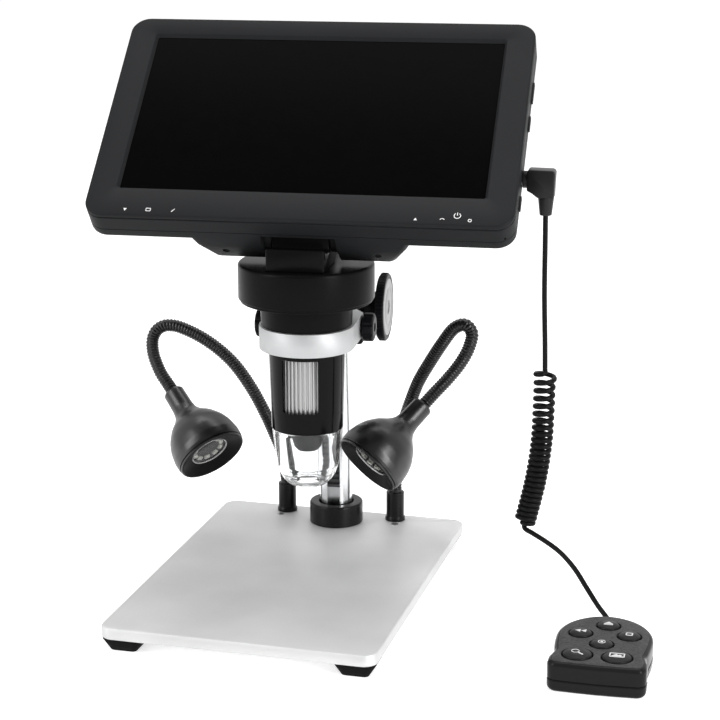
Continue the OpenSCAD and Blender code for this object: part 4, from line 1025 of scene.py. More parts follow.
@dataclass
class Cord:
    """Right-angle plug at the screen, straight lead, coil and slack lead down to the remote control."""

    diameter: float = 2.2
    coil_diameter: float = 9.8
    plug_out: float = 9.9
    plug_drop: float = 14.9
    straight: float = 3.0
    upper: Profile = ((105.2, 21.4, 160), (105.4, 21.3, 138), (106.2, 21, 116), (106.5, 20.9, 104.4))
    coil: Profile = (
        (106.5, 20.9, 104.4), (106.3, 20.8, 88), (105.7, 20.6, 72), (103.7, 20, 56), (100.8, 19.2, 42),
        (99.3, 18.4, 35.4),
    )
    lower: Profile = (
        (99.3, 18.4, 35.4), (100, 17.4, 33.6), (103.5, 14.6, 33), (110.5, 9.5, 31.5), (118, 4, 29),
        (125, -1.5, 24.5), (131, -6.5, 18.5), (136.5, -10.8, 12.8), (140.8, -14.6, 9.6), (142.9, -17.1, 8.3),
        (143.5, -19.1, 7.8),
    )
    pitches: Profile = ((0.0, 3.7), (16.0, 3.4), (30.0, 2.7), (48.0, 2.35), (74.0, 2.25))
    turn_points: int = 20
    swell_turns: float = 0.7
    shrink_length: float = 1.6
    loose_by: float = 0.32
    loose_turn: float = 0.55
    loose_width: float = 0.4

    def build(self) -> None:
        """Builds the plug and the four lengths of cord."""
        jack_frame = AXIS @ shift(*((AXIS.inverted() @ SCREEN) @ Vector(JACK)))
        self._plug(jack_frame)
        leaves = (jack_frame @ Vector((self.plug_out, 0, -self.plug_drop))) / MM
        upper = smooth_path([leaves, leaves - Vector((0, 0, self.straight)), *self.upper], 6)
        wound = self._winding(smooth_path(self.coil, 24))
        half = len(wound) // 2
        self._length("cord_upper_lead", "jacket", upper)
        self._length("cord_coil", "upper_half", wound[: half + 1])
        self._length("cord_coil", "lower_half", wound[half:])
        self._length("cord_lower_lead", "jacket", smooth_path(self.lower, 4))

    def _plug(self, jack_frame: Matrix) -> None:
        """Moulds the right-angle plug and its slotted strain relief.

        Args:
            jack_frame: the frame of the jack.
        """
        side = rounded([
            (2.1, 4.6, 1.2), (13.9, 4.4, 1.6), (13.4, -7.1, 0.4), (6.6, -7.1, 0.6), (4.1, -5.2, 0.6),
            (2.1, -4.2, 0.6),
        ])
        body = Shape.prism(side, -4.2, 4.2).bevel(1.1, 3).moved(turn(90, "X"))
        relief = Shape.lathe([(0, -14.9), (2.55, -14.9, 0.5), (3.35, -7.6, 0.2), (3.35, -6.5), (0, -6.5)], 40)
        slot = Shape.box((1.2, -1.55, -0.32), (4.5, 1.55, 0.32))
        for row in range(4):
            ring = WORKSHOP.ring.make(slot, 2, 0.0, PLUG, 20 if row % 2 else 110)
            relief.cut(ring.moved(shift(0, 0, -8.9 - 1.45 * row)))
        relief.moved(shift(self.plug_out, 0, 0))
        collar = Shape.rod(3.6, 0.05, 2.2, 0.3).moved(turn(90, "Y"))
        tip = Shape.rod(1.25, -11.0, 0.15, 0.4).moved(turn(90, "Y"))
        body.join(relief, collar, tip).stand_for("cord_plug", "moulded", jack_frame, "screen", PLUG)

    def _pitch(self, done: float) -> float:
        """The coil's pitch after so many millimetres of its length.

        Args:
            done: millimetres from its upper end.

        Returns:
            The pitch there.
        """
        for (s0, p0), (s1, p1) in zip(self.pitches, self.pitches[1:]):
            if done <= s1:
                return p0 + (p1 - p0) * (done - s0) / (s1 - s0)
        return self.pitches[-1][1]

    def _winding(self, core: Sequence[Vector]) -> list[Vector]:
        """Winds the cord round the coil's own centreline, with looser turns at its upper end.

        Args:
            core: the coil's centreline.

        Returns:
            The cord's centreline, which starts and ends on the core.
        """
        total = path_length(core)
        radius = (self.coil_diameter - self.diameter) / 2
        path, done, turns = [], 0.0, 0.0
        side = Vector((1, 0, 0))
        spans = [(a, b, (b - a).length) for a, b in zip(core, core[1:])]
        reached, span = 0.0, 0
        while done < total:
            while span < len(spans) - 1 and reached + spans[span][2] < done:
                reached += spans[span][2]
                span += 1
            a, b, length = spans[span]
            here = a + (b - a) * ((done - reached) / length)
            heading = (b - a).normalized()
            side = (side - heading * side.dot(heading)).normalized()
            up = heading.cross(side)
            ramp = min(1.0, turns / self.swell_turns, (total - done) / self.shrink_length)
            ramp = ramp * ramp * (3 - 2 * ramp)
            loose = 1 + self.loose_by * math.exp(-(((turns - self.loose_turn) / self.loose_width) ** 2))
            angle = 2 * math.pi * turns
            path.append(here + (side * math.cos(angle) + up * math.sin(angle)) * radius * ramp * loose)
            turns += 1 / self.turn_points
            done += self._pitch(done) / self.turn_points
        path.append(core[-1].copy())
        return path

    def _length(self, node: str, ending: str, path: Sequence[Vector]) -> None:
        """Args:
            node: the CAD node that it stands for.
            ending: what the piece's name ends in.
            path: the cord's centreline.
        """
        tube = Shape.tube(path, self.diameter / 2, 10)
        piece = tube.stand_for(node, ending, ROW, None, CORD_JACKET, 60)
        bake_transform(piece)


# ---- Base ----


@dataclass
class Base:
    """Plate on four feet, with the column, its collar and the two lamp sleeves."""

    width: float = 118.0
    depth: float = 168.0
    corner: float = 6.0
    foot_tip: float = 11.5
    foot_top: float = 19.0
    column_radius: float = 7.5
    column_top: float = 162.5

    def build(self) -> None:
        """Builds the plate and what stands on it."""
        inset = self.foot_top / 2
        far_x, far_y = self.width / 2 - inset, self.depth / 2 - inset
        corners = [(x * far_x, y * far_y) for x in (-1, 1) for y in (-1, 1)]
        self._plate(corners)
        self._feet(corners)
        self._column()
        for side, name in ((-1, "left"), (1, "right")):
            self._sleeve(side, name)
        repaint("focus_rack", RACK)
        repaint("column_bolt", SCREW)
        repaint("collar_screw", SCREW)

    def _plate(self, corners: Outline) -> None:
        """Mills the plate, with its holes and their screws, and those of the feet at its corners.

        Args:
            corners: where the feet stand.
        """
        plate = Shape.prism(rounded_rect(self.width, self.depth, self.corner, steps=10), PLATE_LOW, PLATE_TOP)
        plate.bevel(0.55, 2)
        trims = [(side * (LAMP_X + 1.6), LAMP_Y - 7) for side in (-1, 1)]
        for x, y in trims:
            hole = Shape.lathe([(0, 7), (1.2, 7), (1.2, 10.4), (2.0, 11.2), (0, 11.2)], 32)
            plate.cut(hole.moved(shift(x, y, 0)))
        plate.stand_for("base_plate", "milled", ROW, "base", PLATE, 30)
        trim = Shape.lathe([(0, 7), (1.1, 7), (1.1, 10.4), (1.85, 11.05, 0.1), (1.2, 11.2), (0, 11.2)], 32)
        heads = WORKSHOP.points.make(trim.cross(1.3, 0.22, 10.85, 12), trims, SCREW)
        under = Shape.lathe([(0, 1.5), (2.7, 1.5, 0.4), (2.7, 3.3), (1.25, 3.3), (1.25, 9.5), (0, 9.5)], 32)
        heads.join(WORKSHOP.points.make(under.cross(1.7, 0.3, 0.5, 2.1), corners, SCREW))
        heads.stand_for("plate_screws", "crossed", ROW, "base", SCREW)

    def _feet(self, corners: Outline) -> None:
        """Sets the four rubber feet at the plate's corners.

        Args:
            corners: where they stand.
        """
        tip, top = self.foot_tip, self.foot_top
        rings = [
            at_height(rounded_rect(size, size, radius, steps=6), z)
            for size, radius, z in (
                (tip - 1.0, 1.6, 0.0), (tip, 1.8, 0.3), (top - 1.2, 4.6, PLATE_LOW - 0.8),
                (top - 0.8, 5.0, PLATE_LOW),
            )
        ]
        pad = Shape.loft(rings).cut(Shape.rod(3.0, -1, 3.3), Shape.rod(1.6, 1, 7))
        WORKSHOP.points.make(pad, corners, FOOT).stand_for("base_feet", "moulded", ROW, "base", FOOT)

    def _column(self) -> None:
        """Grinds the column with the groove for its rack, caps it, and turns the collar that it stands in."""
        r, top = self.column_radius, self.column_top
        column = Shape.lathe([(0, 11), (r, 11), (r, top, 0.5), (0, top)], 96)
        column.cut(Shape.box((-3, -12, 10), (3, -4, 164)))
        column.cut(Shape.rod(3.05, 10, 25), Shape.rod(3.05, 154.4, 164))
        column.stand_for("column", "ground", STAND, "base", COLUMN)
        cap = Shape.lathe(
            [(0, 154.5), (3, 154.5, 0.5), (3, top), (7.7, top, 0.2), (7.7, 165, 1.1), (0, 165)], 96
        )
        cap.stand_for("column_cap", "turned", STAND, "base", CAP_PLASTIC)
        collar = Shape.lathe(
            [(7.55, 11), (12.5, 11, 0.3), (12.5, 21, 0.9), (8.2, 21, 0.5), (8.2, 14), (7.55, 14)], 96
        )
        collar.cut(Shape.rod(1.55, 6, 14, 0, 24).moved(shift(0, 0, 18) @ turn(-90, "X")))
        collar.stand_for("column_collar", "turned", STAND, "base", BLACK_METAL)

    def _sleeve(self, side: int, name: str) -> None:
        """Turns the sleeve of the lamp on that side of the plate.

        Args:
            side: -1 for the left, 1 for the right.
            name: the side's name.
        """
        spot = ROW @ shift(side * LAMP_X, LAMP_Y, 0)
        sleeve = Shape.lathe(
            [(0, 6.5), (2.5, 6.5), (2.5, 11), (4.7, 11, 0.2), (4.7, 12.4, 0.3), (4.2, 13.2, 0.5),
             (4.2, 25, 0.4), (3.16, 25), (3.16, 15), (0, 15)], 64,
        )
        sleeve.stand_for(f"lamp_sleeve_{name}", "turned", spot, "base", BLACK_METAL)


# ---- Carriage ----


@dataclass
class Carriage:
    """Block that slides on the column, with the ring that clamps the barrel."""

    width: float = 31.0
    front: float = 18.26
    back: float = 13.5
    low: float = 102.0
    high: float = 134.0
    ring_low: float = 112.7
    ring_high: float = 122.7
    ring_radius: float = 20.5
    bore: float = 16.56
    tail: float = 47.39

    def build(self) -> None:
        """Builds the block, the ring and the collar on the shaft."""
        self._block()
        self._ring()
        collar = Shape.lathe([(2.56, 20.3), (6.9, 20.3, 0.3), (6.9, 22.2, 0.4), (2.56, 22.2)], 64)
        collar.moved(SHAFT).stand_for("tension_collar", "turned", STAND, "carriage", KNOB)
        repaint("carriage_liner", LINER)
        repaint("arm_screws", SCREW)

    def _block(self) -> None:
        """Machines the block."""
        half, front, back = self.width / 2, -self.front, self.back
        outline = rounded([(-half, front, 2), (half, front, 2), (half, back, 5), (-half, back, 5)])
        block = Shape.prism(outline, self.low, self.high)
        block.unite(
            Shape.box((-11, front - 9, 107.7), (11, front + 1, self.ring_low)),
            Shape.rod(4.3, half - 1, 20.1, 0, 48).moved(SHAFT),
        )
        block.bevel(0.7, 3)
        shaft = Shape.rod(2.6, -13.5, 30, 0, 32).moved(SHAFT)
        pinion = Shape.rod(6.06, -3.2, 3.2, 0, 32).moved(SHAFT)
        block.cut(Shape.rod(8.81, 100, 136, 0, 64), shaft, pinion)
        block.cut(*[Shape.rod(1.55, 107, 113, 0, 24).moved(shift(x, y - REACH, 0)) for x, y in ARM_SCREWS])
        for z in (107, 129):
            dimple = Shape.rod(2.3, back - 0.9, back + 1, 0, 32)
            block.cut(dimple.moved(shift(0, 0, z) @ turn(-90, "X")))
        block.stand_for("carriage_block", "cast", STAND, "carriage", CARRIAGE)

    def _ring(self) -> None:
        """Machines the ring with its two cheeks."""
        low, high, tail = self.ring_low, self.ring_high, self.tail
        ring = Shape.rod(self.ring_radius, low, high, 0, 128)
        cheeks = rounded([
            (-20.5, -1), (20.5, -1), (20.5, 24, 3), (11, 38.4, 2), (11, tail), (-11, tail), (-11, 38.4, 2),
            (-20.5, 24, 3),
        ])
        ring.unite(Shape.prism(cheeks, low, high))
        ring.cut(Shape.rod(self.bore, low - 1, high + 1, 0, 128))
        ring.cut(Shape.box((-1.2, 0, low - 1), (1.2, 34, high + 1)))
        ring.bevel(0.5, 2)
        ring.cut(Shape.rod(2.06, -25, 25, 0, 32).moved(CLAMP @ turn(90, "Y")))
        for x, y in ARM_SCREWS:
            bore, head = Shape.rod(1.55, low - 1, high + 1, 0, 24), Shape.rod(2.95, high - 2, high + 1, 0, 32)
            ring.cut(bore.moved(shift(x, y, 0)), head.moved(shift(x, y, 0)))
        ring.stand_for("clamp_ring", "machined", AXIS, "carriage", RING)


@dataclass
class FocusKnob:
    """Large knob with a bright face that drives the pinion."""

    rim_radius: float = 15.2
    inner: float = 22.4
    outer: float = 26.4
    grips: int = 60

    def build(self) -> None:
        """Builds the rim, its grip and the face."""
        spot, r, inner, outer = STAND @ SHAFT, self.rim_radius, self.inner, self.outer
        rim = Shape.lathe(
            [(2.55, inner), (14.4, inner, 0.6), (r, inner + 0.7, 0.3), (r, outer - 0.5, 0.3),
             (14.8, outer, 0.3), (13.3, outer, 0.2), (13.05, outer - 0.8), (2.55, outer - 0.8)], 120,
        )
        ridge = rounded([(-0.35, -0.36), (0.28, -0.22, 0.12), (0.28, 0.22, 0.12), (-0.35, 0.36)])
        rim.join(WORKSHOP.ring.make(Shape.prism(ridge, inner + 0.8, outer - 0.6), self.grips, r, KNOB))
        rim.stand_for("focus_knob", "rim", spot, "focus_knob", KNOB)
        face = Shape.lathe(
            [(0, outer - 0.75), (13.0, outer - 0.75), (13.0, outer + 0.05, 0.25), (9, outer + 0.05),
             (8.6, outer - 0.1, 0.1), (8.2, outer + 0.05), (3.4, outer + 0.05), (3.0, outer - 0.3, 0.2),
             (0, outer - 0.3)], 120,
        )
        face.stand_for("knob_face", "turned", spot, "focus_knob", KNOB_FACE)
        repaint("pinion_shaft", PIN)


@dataclass
class ClampScrew:
    """Screw through the ring's cheeks with a scalloped knob on either end."""

    radius: float = 6.25
    start: float = 20.8
    length: float = 5.6
    lobes: int = 8

    def build(self) -> None:
        """Builds the screw and both knobs."""
        spot = AXIS @ CLAMP
        screw = Shape.rod(2.0, -25.4, 25.4, 0.3, 32).moved(turn(90, "Y"))
        screw.stand_for("clamp_screw", "threaded", spot, "clamp_screw", SCREW)
        for side, name, body in ((1, "right", "clamp_screw"), (-1, "left", "clamp_nut")):
            place = spot @ turn(side * 90, "Y")
            self._knob().stand_for(f"clamp_knob_{name}", "scalloped", place, body, KNOB, None)

    def _knob(self) -> Shape:
        """Moulds a knob about Z, from start outwards."""
        r, z, end = self.radius, self.start, self.start + self.length
        knob = Shape.lathe(
            [(2.06, z), (r - 1.6, z, 0.3), (r - 1.2, z + 0.7, 0.3), (r, z + 1.0, 0.4), (r, end - 0.6, 0.8),
             (r - 1.4, end, 0.5), (2.06, end)], 96,
        )
        flute = Shape.rod(1.15, z - 1, end + 2, 0, 20)
        knob.cut(WORKSHOP.ring.make(flute, self.lobes, r + 0.55, KNOB, 22.5))
        return knob.bevel(0.22, 2, 30)


# ---- Optical head ----


@dataclass
class OpticalHead:
    """Disc housing, barrel with its focus wheel, lens, lights and clear cap."""

    disc_radius: float = 29.2
    disc_low: float = 134.7
    disc_high: float = 150.2
    disc_wall: float = 2.2
    barrel_low: float = 77.0
    barrel_top: float = 132.45
    barrel_tip: float = 15.5
    barrel_radius: float = 16.5
    ring_low: float = 112.7
    bore: float = 14.2
    window: float = 15.9
    wheel_low: float = 85.4
    wheel_high: float = 111.2
    wheel_ribs: int = 46
    cap_radius: float = 15.2
    cap_low: float = 51.55
    cap_top: float = 76.95
    neck_half: float = 12.4
    hinge_radius: float = 7.0

    def build(self) -> None:
        """Builds the head from the top down."""
        self._disc()
        self._barrel()
        self._wheel()
        self._optics()
        self._cap()
        self._block()
        repaint("sensor_board", BOARD)

    def _disc(self) -> None:
        """Moulds the disc housing, its flange and its neck."""
        low, high, r = self.disc_low, self.disc_high, self.disc_radius
        under = high - self.disc_wall
        cover = Shape.lathe(
            [(4, high), (r, high, 1.3), (r, low, 0.5), (27, low), (27, under), (4, under)], 144
        )
        cover.stand_for("head_cover", "moulded", AXIS, "head", HEAD)
        base = Shape.lathe(
            [(16.56, 122.9), (19.55, 122.9, 0.4), (19.95, 133.5, 0.4), (28.4, 133.5, 0.4), (28.4, 134.65),
             (26.95, 134.65), (26.95, 138.7), (24.9, 138.7), (24.9, 134.7), (4, 134.7), (4, 132.5),
             (16.56, 132.5)], 144,
        )
        base.stand_for("head_base", "moulded", AXIS, "head", HEAD)

    def _barrel(self) -> None:
        """Turns the barrel and opens the window for the focus wheel."""
        low, top, r, bore = self.barrel_low, self.barrel_top, self.barrel_radius, self.bore
        barrel = Shape.lathe(
            [(bore, low), (self.barrel_tip, low, 0.4), (r, self.ring_low), (r, top), (14.5, top),
             (14.5, 113.4), (11, 113.4), (11, 111.4), (bore, 111.4), (bore, 85.2), (11, 85.2), (11, 82.2),
             (bore, 82.2)], 144,
        )
        half = self.window / 2
        window = rounded([(-half, 86.6, 0.8), (half, 86.6, 0.8), (half, 110, 0.8), (-half, 110, 0.8)])
        barrel.cut(Shape.prism(window, 7.1, 33).moved(turn(90, "X")))
        panel = Shape.lathe([(16.05 - 0.35, 76), (20, 76), (20, 85.4), (15.95 - 0.2, 85.4)], 144)
        flat = Shape.box((-half - 0.4, -25, 75), (half + 0.4, 0, 86)).combine("INTERSECT", panel)
        line = Shape.lathe([(15.7, 85.0), (20, 85.0), (20, 85.35), (15.7, 85.35)], 144)
        barrel.cut(flat, line)
        barrel.stand_for("barrel_shell", "turned", AXIS, "head", BARREL, 28)

    def _wheel(self) -> None:
        """Ribs the focus wheel."""
        low, high = self.wheel_low, self.wheel_high
        core = Shape.lathe([(11.1, low), (12.9, low, 0.2), (12.9, high, 0.2), (11.1, high)], 92)
        side = rounded([(-0.7, -0.52), (0.45, -0.4, 0.3), (0.45, 0.4, 0.3), (-0.7, 0.52)], step=30)
        rib = Shape.prism(side, low + 0.2, high - 0.2)
        core.join(WORKSHOP.ring.make(rib, self.wheel_ribs, 13.4, WHEEL, 180 / self.wheel_ribs))
        core.stand_for("focus_wheel", "ribbed", AXIS, "focus_wheel", WHEEL)

    def _optics(self) -> None:
        """Makes the lens carrier, the lens and the ring of lights."""
        carrier = Shape.lathe(
            [(3, 67), (4.4, 67, 0.3), (5.8, 68.6, 0.6), (6.7, 71.6, 0.6), (7.15, 75, 0.4), (7.15, 88),
             (10.75, 88), (10.75, 106), (8.75, 106), (8.75, 90), (5, 90), (5, 71), (3, 71)], 96,
        )
        carrier.stand_for("lens_carrier", "turned", AXIS, "lens_carrier", NOSE)
        lens = Shape.lathe([(0, 68.0), (1.6, 68.08), (2.95, 68.5), (2.95, 70.4), (0, 70.4)], 64)
        lens.stand_for("objective_lens", "ground", AXIS, "lens_carrier", GLASS)
        board = Shape.lathe([(8.15, 80.8), (12.4, 80.8), (12.4, 82.2), (8.15, 82.2)], 96)
        board.stand_for("led_ring", "board", AXIS, "head", LED_BOARD)
        led = Shape.lathe([(0, 78.6), (0.9, 78.8), (1.4, 79.5), (1.5, 80.9), (0, 80.9)], 24)
        WORKSHOP.ring.make(led, 8, 10.4, LED, 22.5).place("led_ring_lights", AXIS, "head", LED)

    def _cap(self) -> None:
        """Moulds the clear cap, stepped in towards its open end."""
        low, top, r = self.cap_low, self.cap_top, self.cap_radius
        inner = r - 1.2
        cap = Shape.lathe(
            [(inner, top + 3), (inner, top), (r, top, 0.3), (r, top - 1.5, 0.4), (r - 1.8, low + 8.4, 3),
             (r - 3, low + 4.9, 1.5), (r - 4.8, low + 2, 1.2), (r - 7, low, 0.5), (5, low, 0.2),
             (5, low + 1.2, 0.2), (r - 7.4, low + 1.2, 0.6), (r - 5.6, low + 3, 0.8), (r - 4.2, low + 5.6, 1),
             (r - 3.1, low + 8.8, 2), (inner - 1.2, top - 1, 0.5), (inner - 1.2, top + 3)], 128,
        )
        cap.stand_for("clear_cap", "moulded", AXIS, "clear_cap", CLEAR, 40)

    def _block(self) -> None:
        """Moulds the block that the screen tilts on."""
        r = self.hinge_radius
        arc = [around((0, 12.8), r, math.radians(90 - a)) for a in range(90, -91, -10)]
        side = [(r, 0), *arc, (-r, 7.6), (-13, 7.6), (-19, 9.8), (-19, 0)]
        ends = [[(x, -5 + y, self.disc_high + z) for y, z in side] for x in (-self.neck_half, self.neck_half)]
        block = Shape.loft(ends).bevel(0.7, 3)
        block.cut(Shape.rod(2.06, -15, 15, 0, 32).moved(shift(0, -5, 163) @ turn(90, "Y")))
        block.stand_for("neck_block", "moulded", AXIS, "head", HEAD)


# ---- Screen ----


@dataclass
class Screen:
    """Display housing: bezel, frame, back with its hump, glass and marks."""

    width: float = 181.3
    height: float = 113.7
    centre: float = -2.45
    corner: float = 8.0
    window: tuple[float, float] = (155.0, 87.0)
    face: float = 1.5
    split: float = -1.1
    seam: float = -8.5
    back: float = -14.0
    hump: float = -29.3
    bottom: float = -59.3
    ports: tuple[tuple[float, float], ...] = ((22.5, 11.3), (4.9, 7.8), (-38.9, 7.3))
    port_low: float = -9.5
    port_high: float = -6.9
    socket_wall: float = 0.5
    socket_out: float = 91.45
    post_x: float = 80.65
    post_y: float = 48.85

    def build(self) -> None:
        """Builds the housing from the front to the back."""
        self._bezel()
        self._frame()
        self._back()
        self._screws()
        self._sockets()
        self._marks()
        repaint("lcd_panel", SCREEN_GLASS)
        repaint("main_board", BOARD)
        repaint("battery", BATTERY)
        repaint("tilt_pin", PIN)

    def _ring(self, inset: float, z: float) -> Ring:
        """The housing's outline drawn in by inset, at height z."""
        wide, tall = self.width - 2 * inset, self.height - 2 * inset
        return at_height(rounded_rect(wide, tall, self.corner - inset / 2, (0, self.centre)), z)

    def _rings(self, *steps: tuple[float, float]) -> list[Ring]:
        """The housing's outline at every (inset, height)."""
        return [self._ring(inset, z) for inset, z in steps]

    def _opening(self, grow: float, z: float) -> Ring:
        """The window's outline grown by grow, at height z."""
        w, h = self.window
        return at_height(rounded_rect(w + 2 * grow, h + 2 * grow, 0.6 + grow / 2), z)

    def _posts(self) -> Outline:
        """Where the four screws of the back stand."""
        return [(x * self.post_x, self.centre + y * self.post_y) for x in (-1, 1) for y in (-1, 1)]

    def _bezel(self) -> None:
        """Moulds the front bezel with its rounded rim and bevelled opening."""
        rings = self._rings((0.8, self.split), (0.8, -0.6), (0.15, -0.6), (0, -0.4))
        rings += [self._ring(inset, 0.4 + rise) for inset, rise in quarter_round(1.1)]
        steps = ((1.35, self.face), (1.15, 1.42), (0.05, 0.05), (0, -0.3), (0, self.split))
        bezel = Shape.loft(rings + [self._opening(grow, z) for grow, z in steps], hollow=True)
        bezel.stand_for("front_bezel", "moulded", SCREEN, "screen", HOUSING, 28)

    def _frame(self) -> None:
        """Moulds the frame between the bezel and the back, with the openings in its right side."""
        low, high, split, seam = self.port_low, self.port_high, self.split, self.seam
        rings = self._rings((0.35, split), (0, -1.45), (0, -8.2), (0.3, seam), (2, seam), (2, split))
        body = Shape.loft(rings, hollow=True)
        for y, width in self.ports:
            half = width / 2
            slot = rounded([(-half, low, 0.6), (half, low, 0.6), (half, high, 0.6), (-half, high, 0.6)])
            body.cut(Shape.prism(slot, 80, 95).moved(shift(0, y, 0) @ SIDEWAYS))
        body.cut(Shape.rod(0.55, 80, 100, 0, 20).moved(shift(86.65, 30, -7.2) @ turn(90, "X")))
        plate = Shape.loft(self._rings((2.0, -4.1), (2.0, -3.0)))
        body.join(plate.cut(Shape.box((-60, -35, -5), (60, 35, -2))))
        body.stand_for("mid_frame", "moulded", SCREEN, "screen", HOUSING, 28)

    def _hump(self, inset: float, drop: float = 0.0) -> Shape:
        """The hump as a solid.

        Args:
            inset: how far its sides and its end are drawn in.
            drop: how far it reaches over the seam.

        Returns:
            The solid, which stands on the housing's lower edge.
        """
        tail, low = self.hump + inset, self.bottom
        rows = (
            (self.seam + drop, 50.0, low, 6.0, 4.0), (-17.5, 45.4, low, 3.4, 4.0),
            (-27.8, 40.2, low + 3.15, 0.4, 4.0), (-28.9, 39.5, low + 3.9, -0.3, 3.6),
            (tail, 38.6, low + 4.9, -1.2, 3.0),
        )
        rings = []
        for z, half, y0, y1, radius in rows:
            if z < tail:
                continue
            wide, tall, middle = 2 * (half - inset), y1 - y0 - 2 * inset, (0, (y0 + y1) / 2)
            rings.append(at_height(rounded_rect(wide, tall, max(0.4, radius - inset), middle), z))
        return Shape.loft(rings)

    def _back(self) -> None:
        """Moulds the back with its hump, the pocket that the block sits in, and the ears of the hinge."""
        seam, back = self.seam, self.back
        rings = self._rings((0.3, seam), (0, seam - 0.3), (0, -11.6))
        rings += [self._ring(inset, -11.6 - rise) for inset, rise in quarter_round(2.4, 15)]
        body = Shape.loft(rings).unite(self._hump(0))
        inner = Shape.loft(self._rings((2, seam + 1), (2, back + 2))).unite(self._hump(2, 1))
        body.cut(inner.cut(Shape.box((-17.8, -60, -30), (17.8, -39, 0))))
        pocket = rounded([(-15.8, -64), (15.8, -64), (15.8, -41, 1.5), (-15.8, -41, 1.5)])
        body.cut(Shape.prism(pocket, -34, seam - 1.5))
        for y, width in self.ports:
            half = width / 2
            body.cut(Shape.box((86, y - half, self.port_low), (95, y + half, self.port_high)))
        body.cut(Shape.rod(3.1, 86, 95, 0, 32).moved(shift(0, *JACK[1:]) @ turn(90, "Y")))
        for x, y in self._posts():
            body.cut(Shape.rod(2.45, -20, back + 1.25, 0, 32).moved(shift(x, y, 0)))
        for x in (-32.6, 32.6):
            hole = Shape.rod(1.5, -6, 1.5, 0, 32)
            body.cut(hole.moved(shift(x, -57.95, -22.0) @ turn(-106.9, "X")))
        vent = Shape.prism(rounded_rect(1.6, 9, 0.79, steps=6), -16, -12.6)
        body.cut(WORKSHOP.points.make(vent, [(-34 + 4 * k, 34) for k in range(18)], HOUSING))
        body.bevel(0.35, 2, 34)
        for side in (-90, 90):
            ear = Shape.rod(7.2, 12.6, 16.4, 0.4, 48).moved(turn(side, "Y"))
            body.join(ear.moved(shift(0, -HINGE_UP, -HINGE_DEEP)))
        body.stand_for("back_cover", "moulded", SCREEN, "screen", HOUSING, None)

    def _screws(self) -> None:
        """Sets the four screws in the back."""
        back = self.back
        head = Shape.rod(2.2, back, back + 1.2, 0.2, 32).join(Shape.rod(1.2, back + 1, -4, 0, 20))
        screws = WORKSHOP.points.make(head.cross(1.4, 0.25, -15, -13.5), self._posts(), SCREW)
        screws.stand_for("back_screws", "crossed", SCREEN, "screen", SCREW)

    def _sockets(self) -> None:
        """Sets the shells of the sockets, which stand a little out of the right side."""
        shells, gap, tall, corner = [], 0.2, 2.4, 0.6
        middle = (0, (self.port_low + self.port_high) / 2)
        for y, width in self.ports:
            outer, inner = (
                rounded_rect(width - gap - 2 * wall, tall - 2 * wall, corner - wall / 2, middle)
                for wall in (0, self.socket_wall)
            )
            shell = Shape.prism(outer, 87.0, self.socket_out).cut(Shape.prism(inner, 89.0, 92.0))
            shells.append(shell.moved(shift(0, y, 0) @ SIDEWAYS))
        shells[0].join(*shells[1:]).place("socket_shells", SCREEN, "screen", PLUG)

    def _marks(self) -> None:
        """Prints the plain symbols on the lower border."""
        stamp = Stamp(self.face - 0.02, self.face + 0.03)
        marks = stamp.fill((-73.1, -55.6), (-72.35, -57.0), (-71.6, -55.6))
        marks.join(
            *stamp.frame((-63.25, -56.7), (-61.35, -55.3), 0.3),
            stamp.bar((-52.3, -56.8), (-51.0, -55.2), 0.35),
            stamp.fill((49.6, -57.0), (51.0, -57.0), (50.3, -55.7)),
            stamp.arc((61.3, -56.6), 0.9, 20, 160),
            stamp.arc((67.3, -54.0), 1.35, 125, 415),
            stamp.bar((67.3, -53.9), (67.3, -52.3), 0.35),
            stamp.arc((72.6, -56.3), 0.65),
        )
        marks.place("housing_marks", SCREEN, "screen", MARK)


# ---- Lamps ----


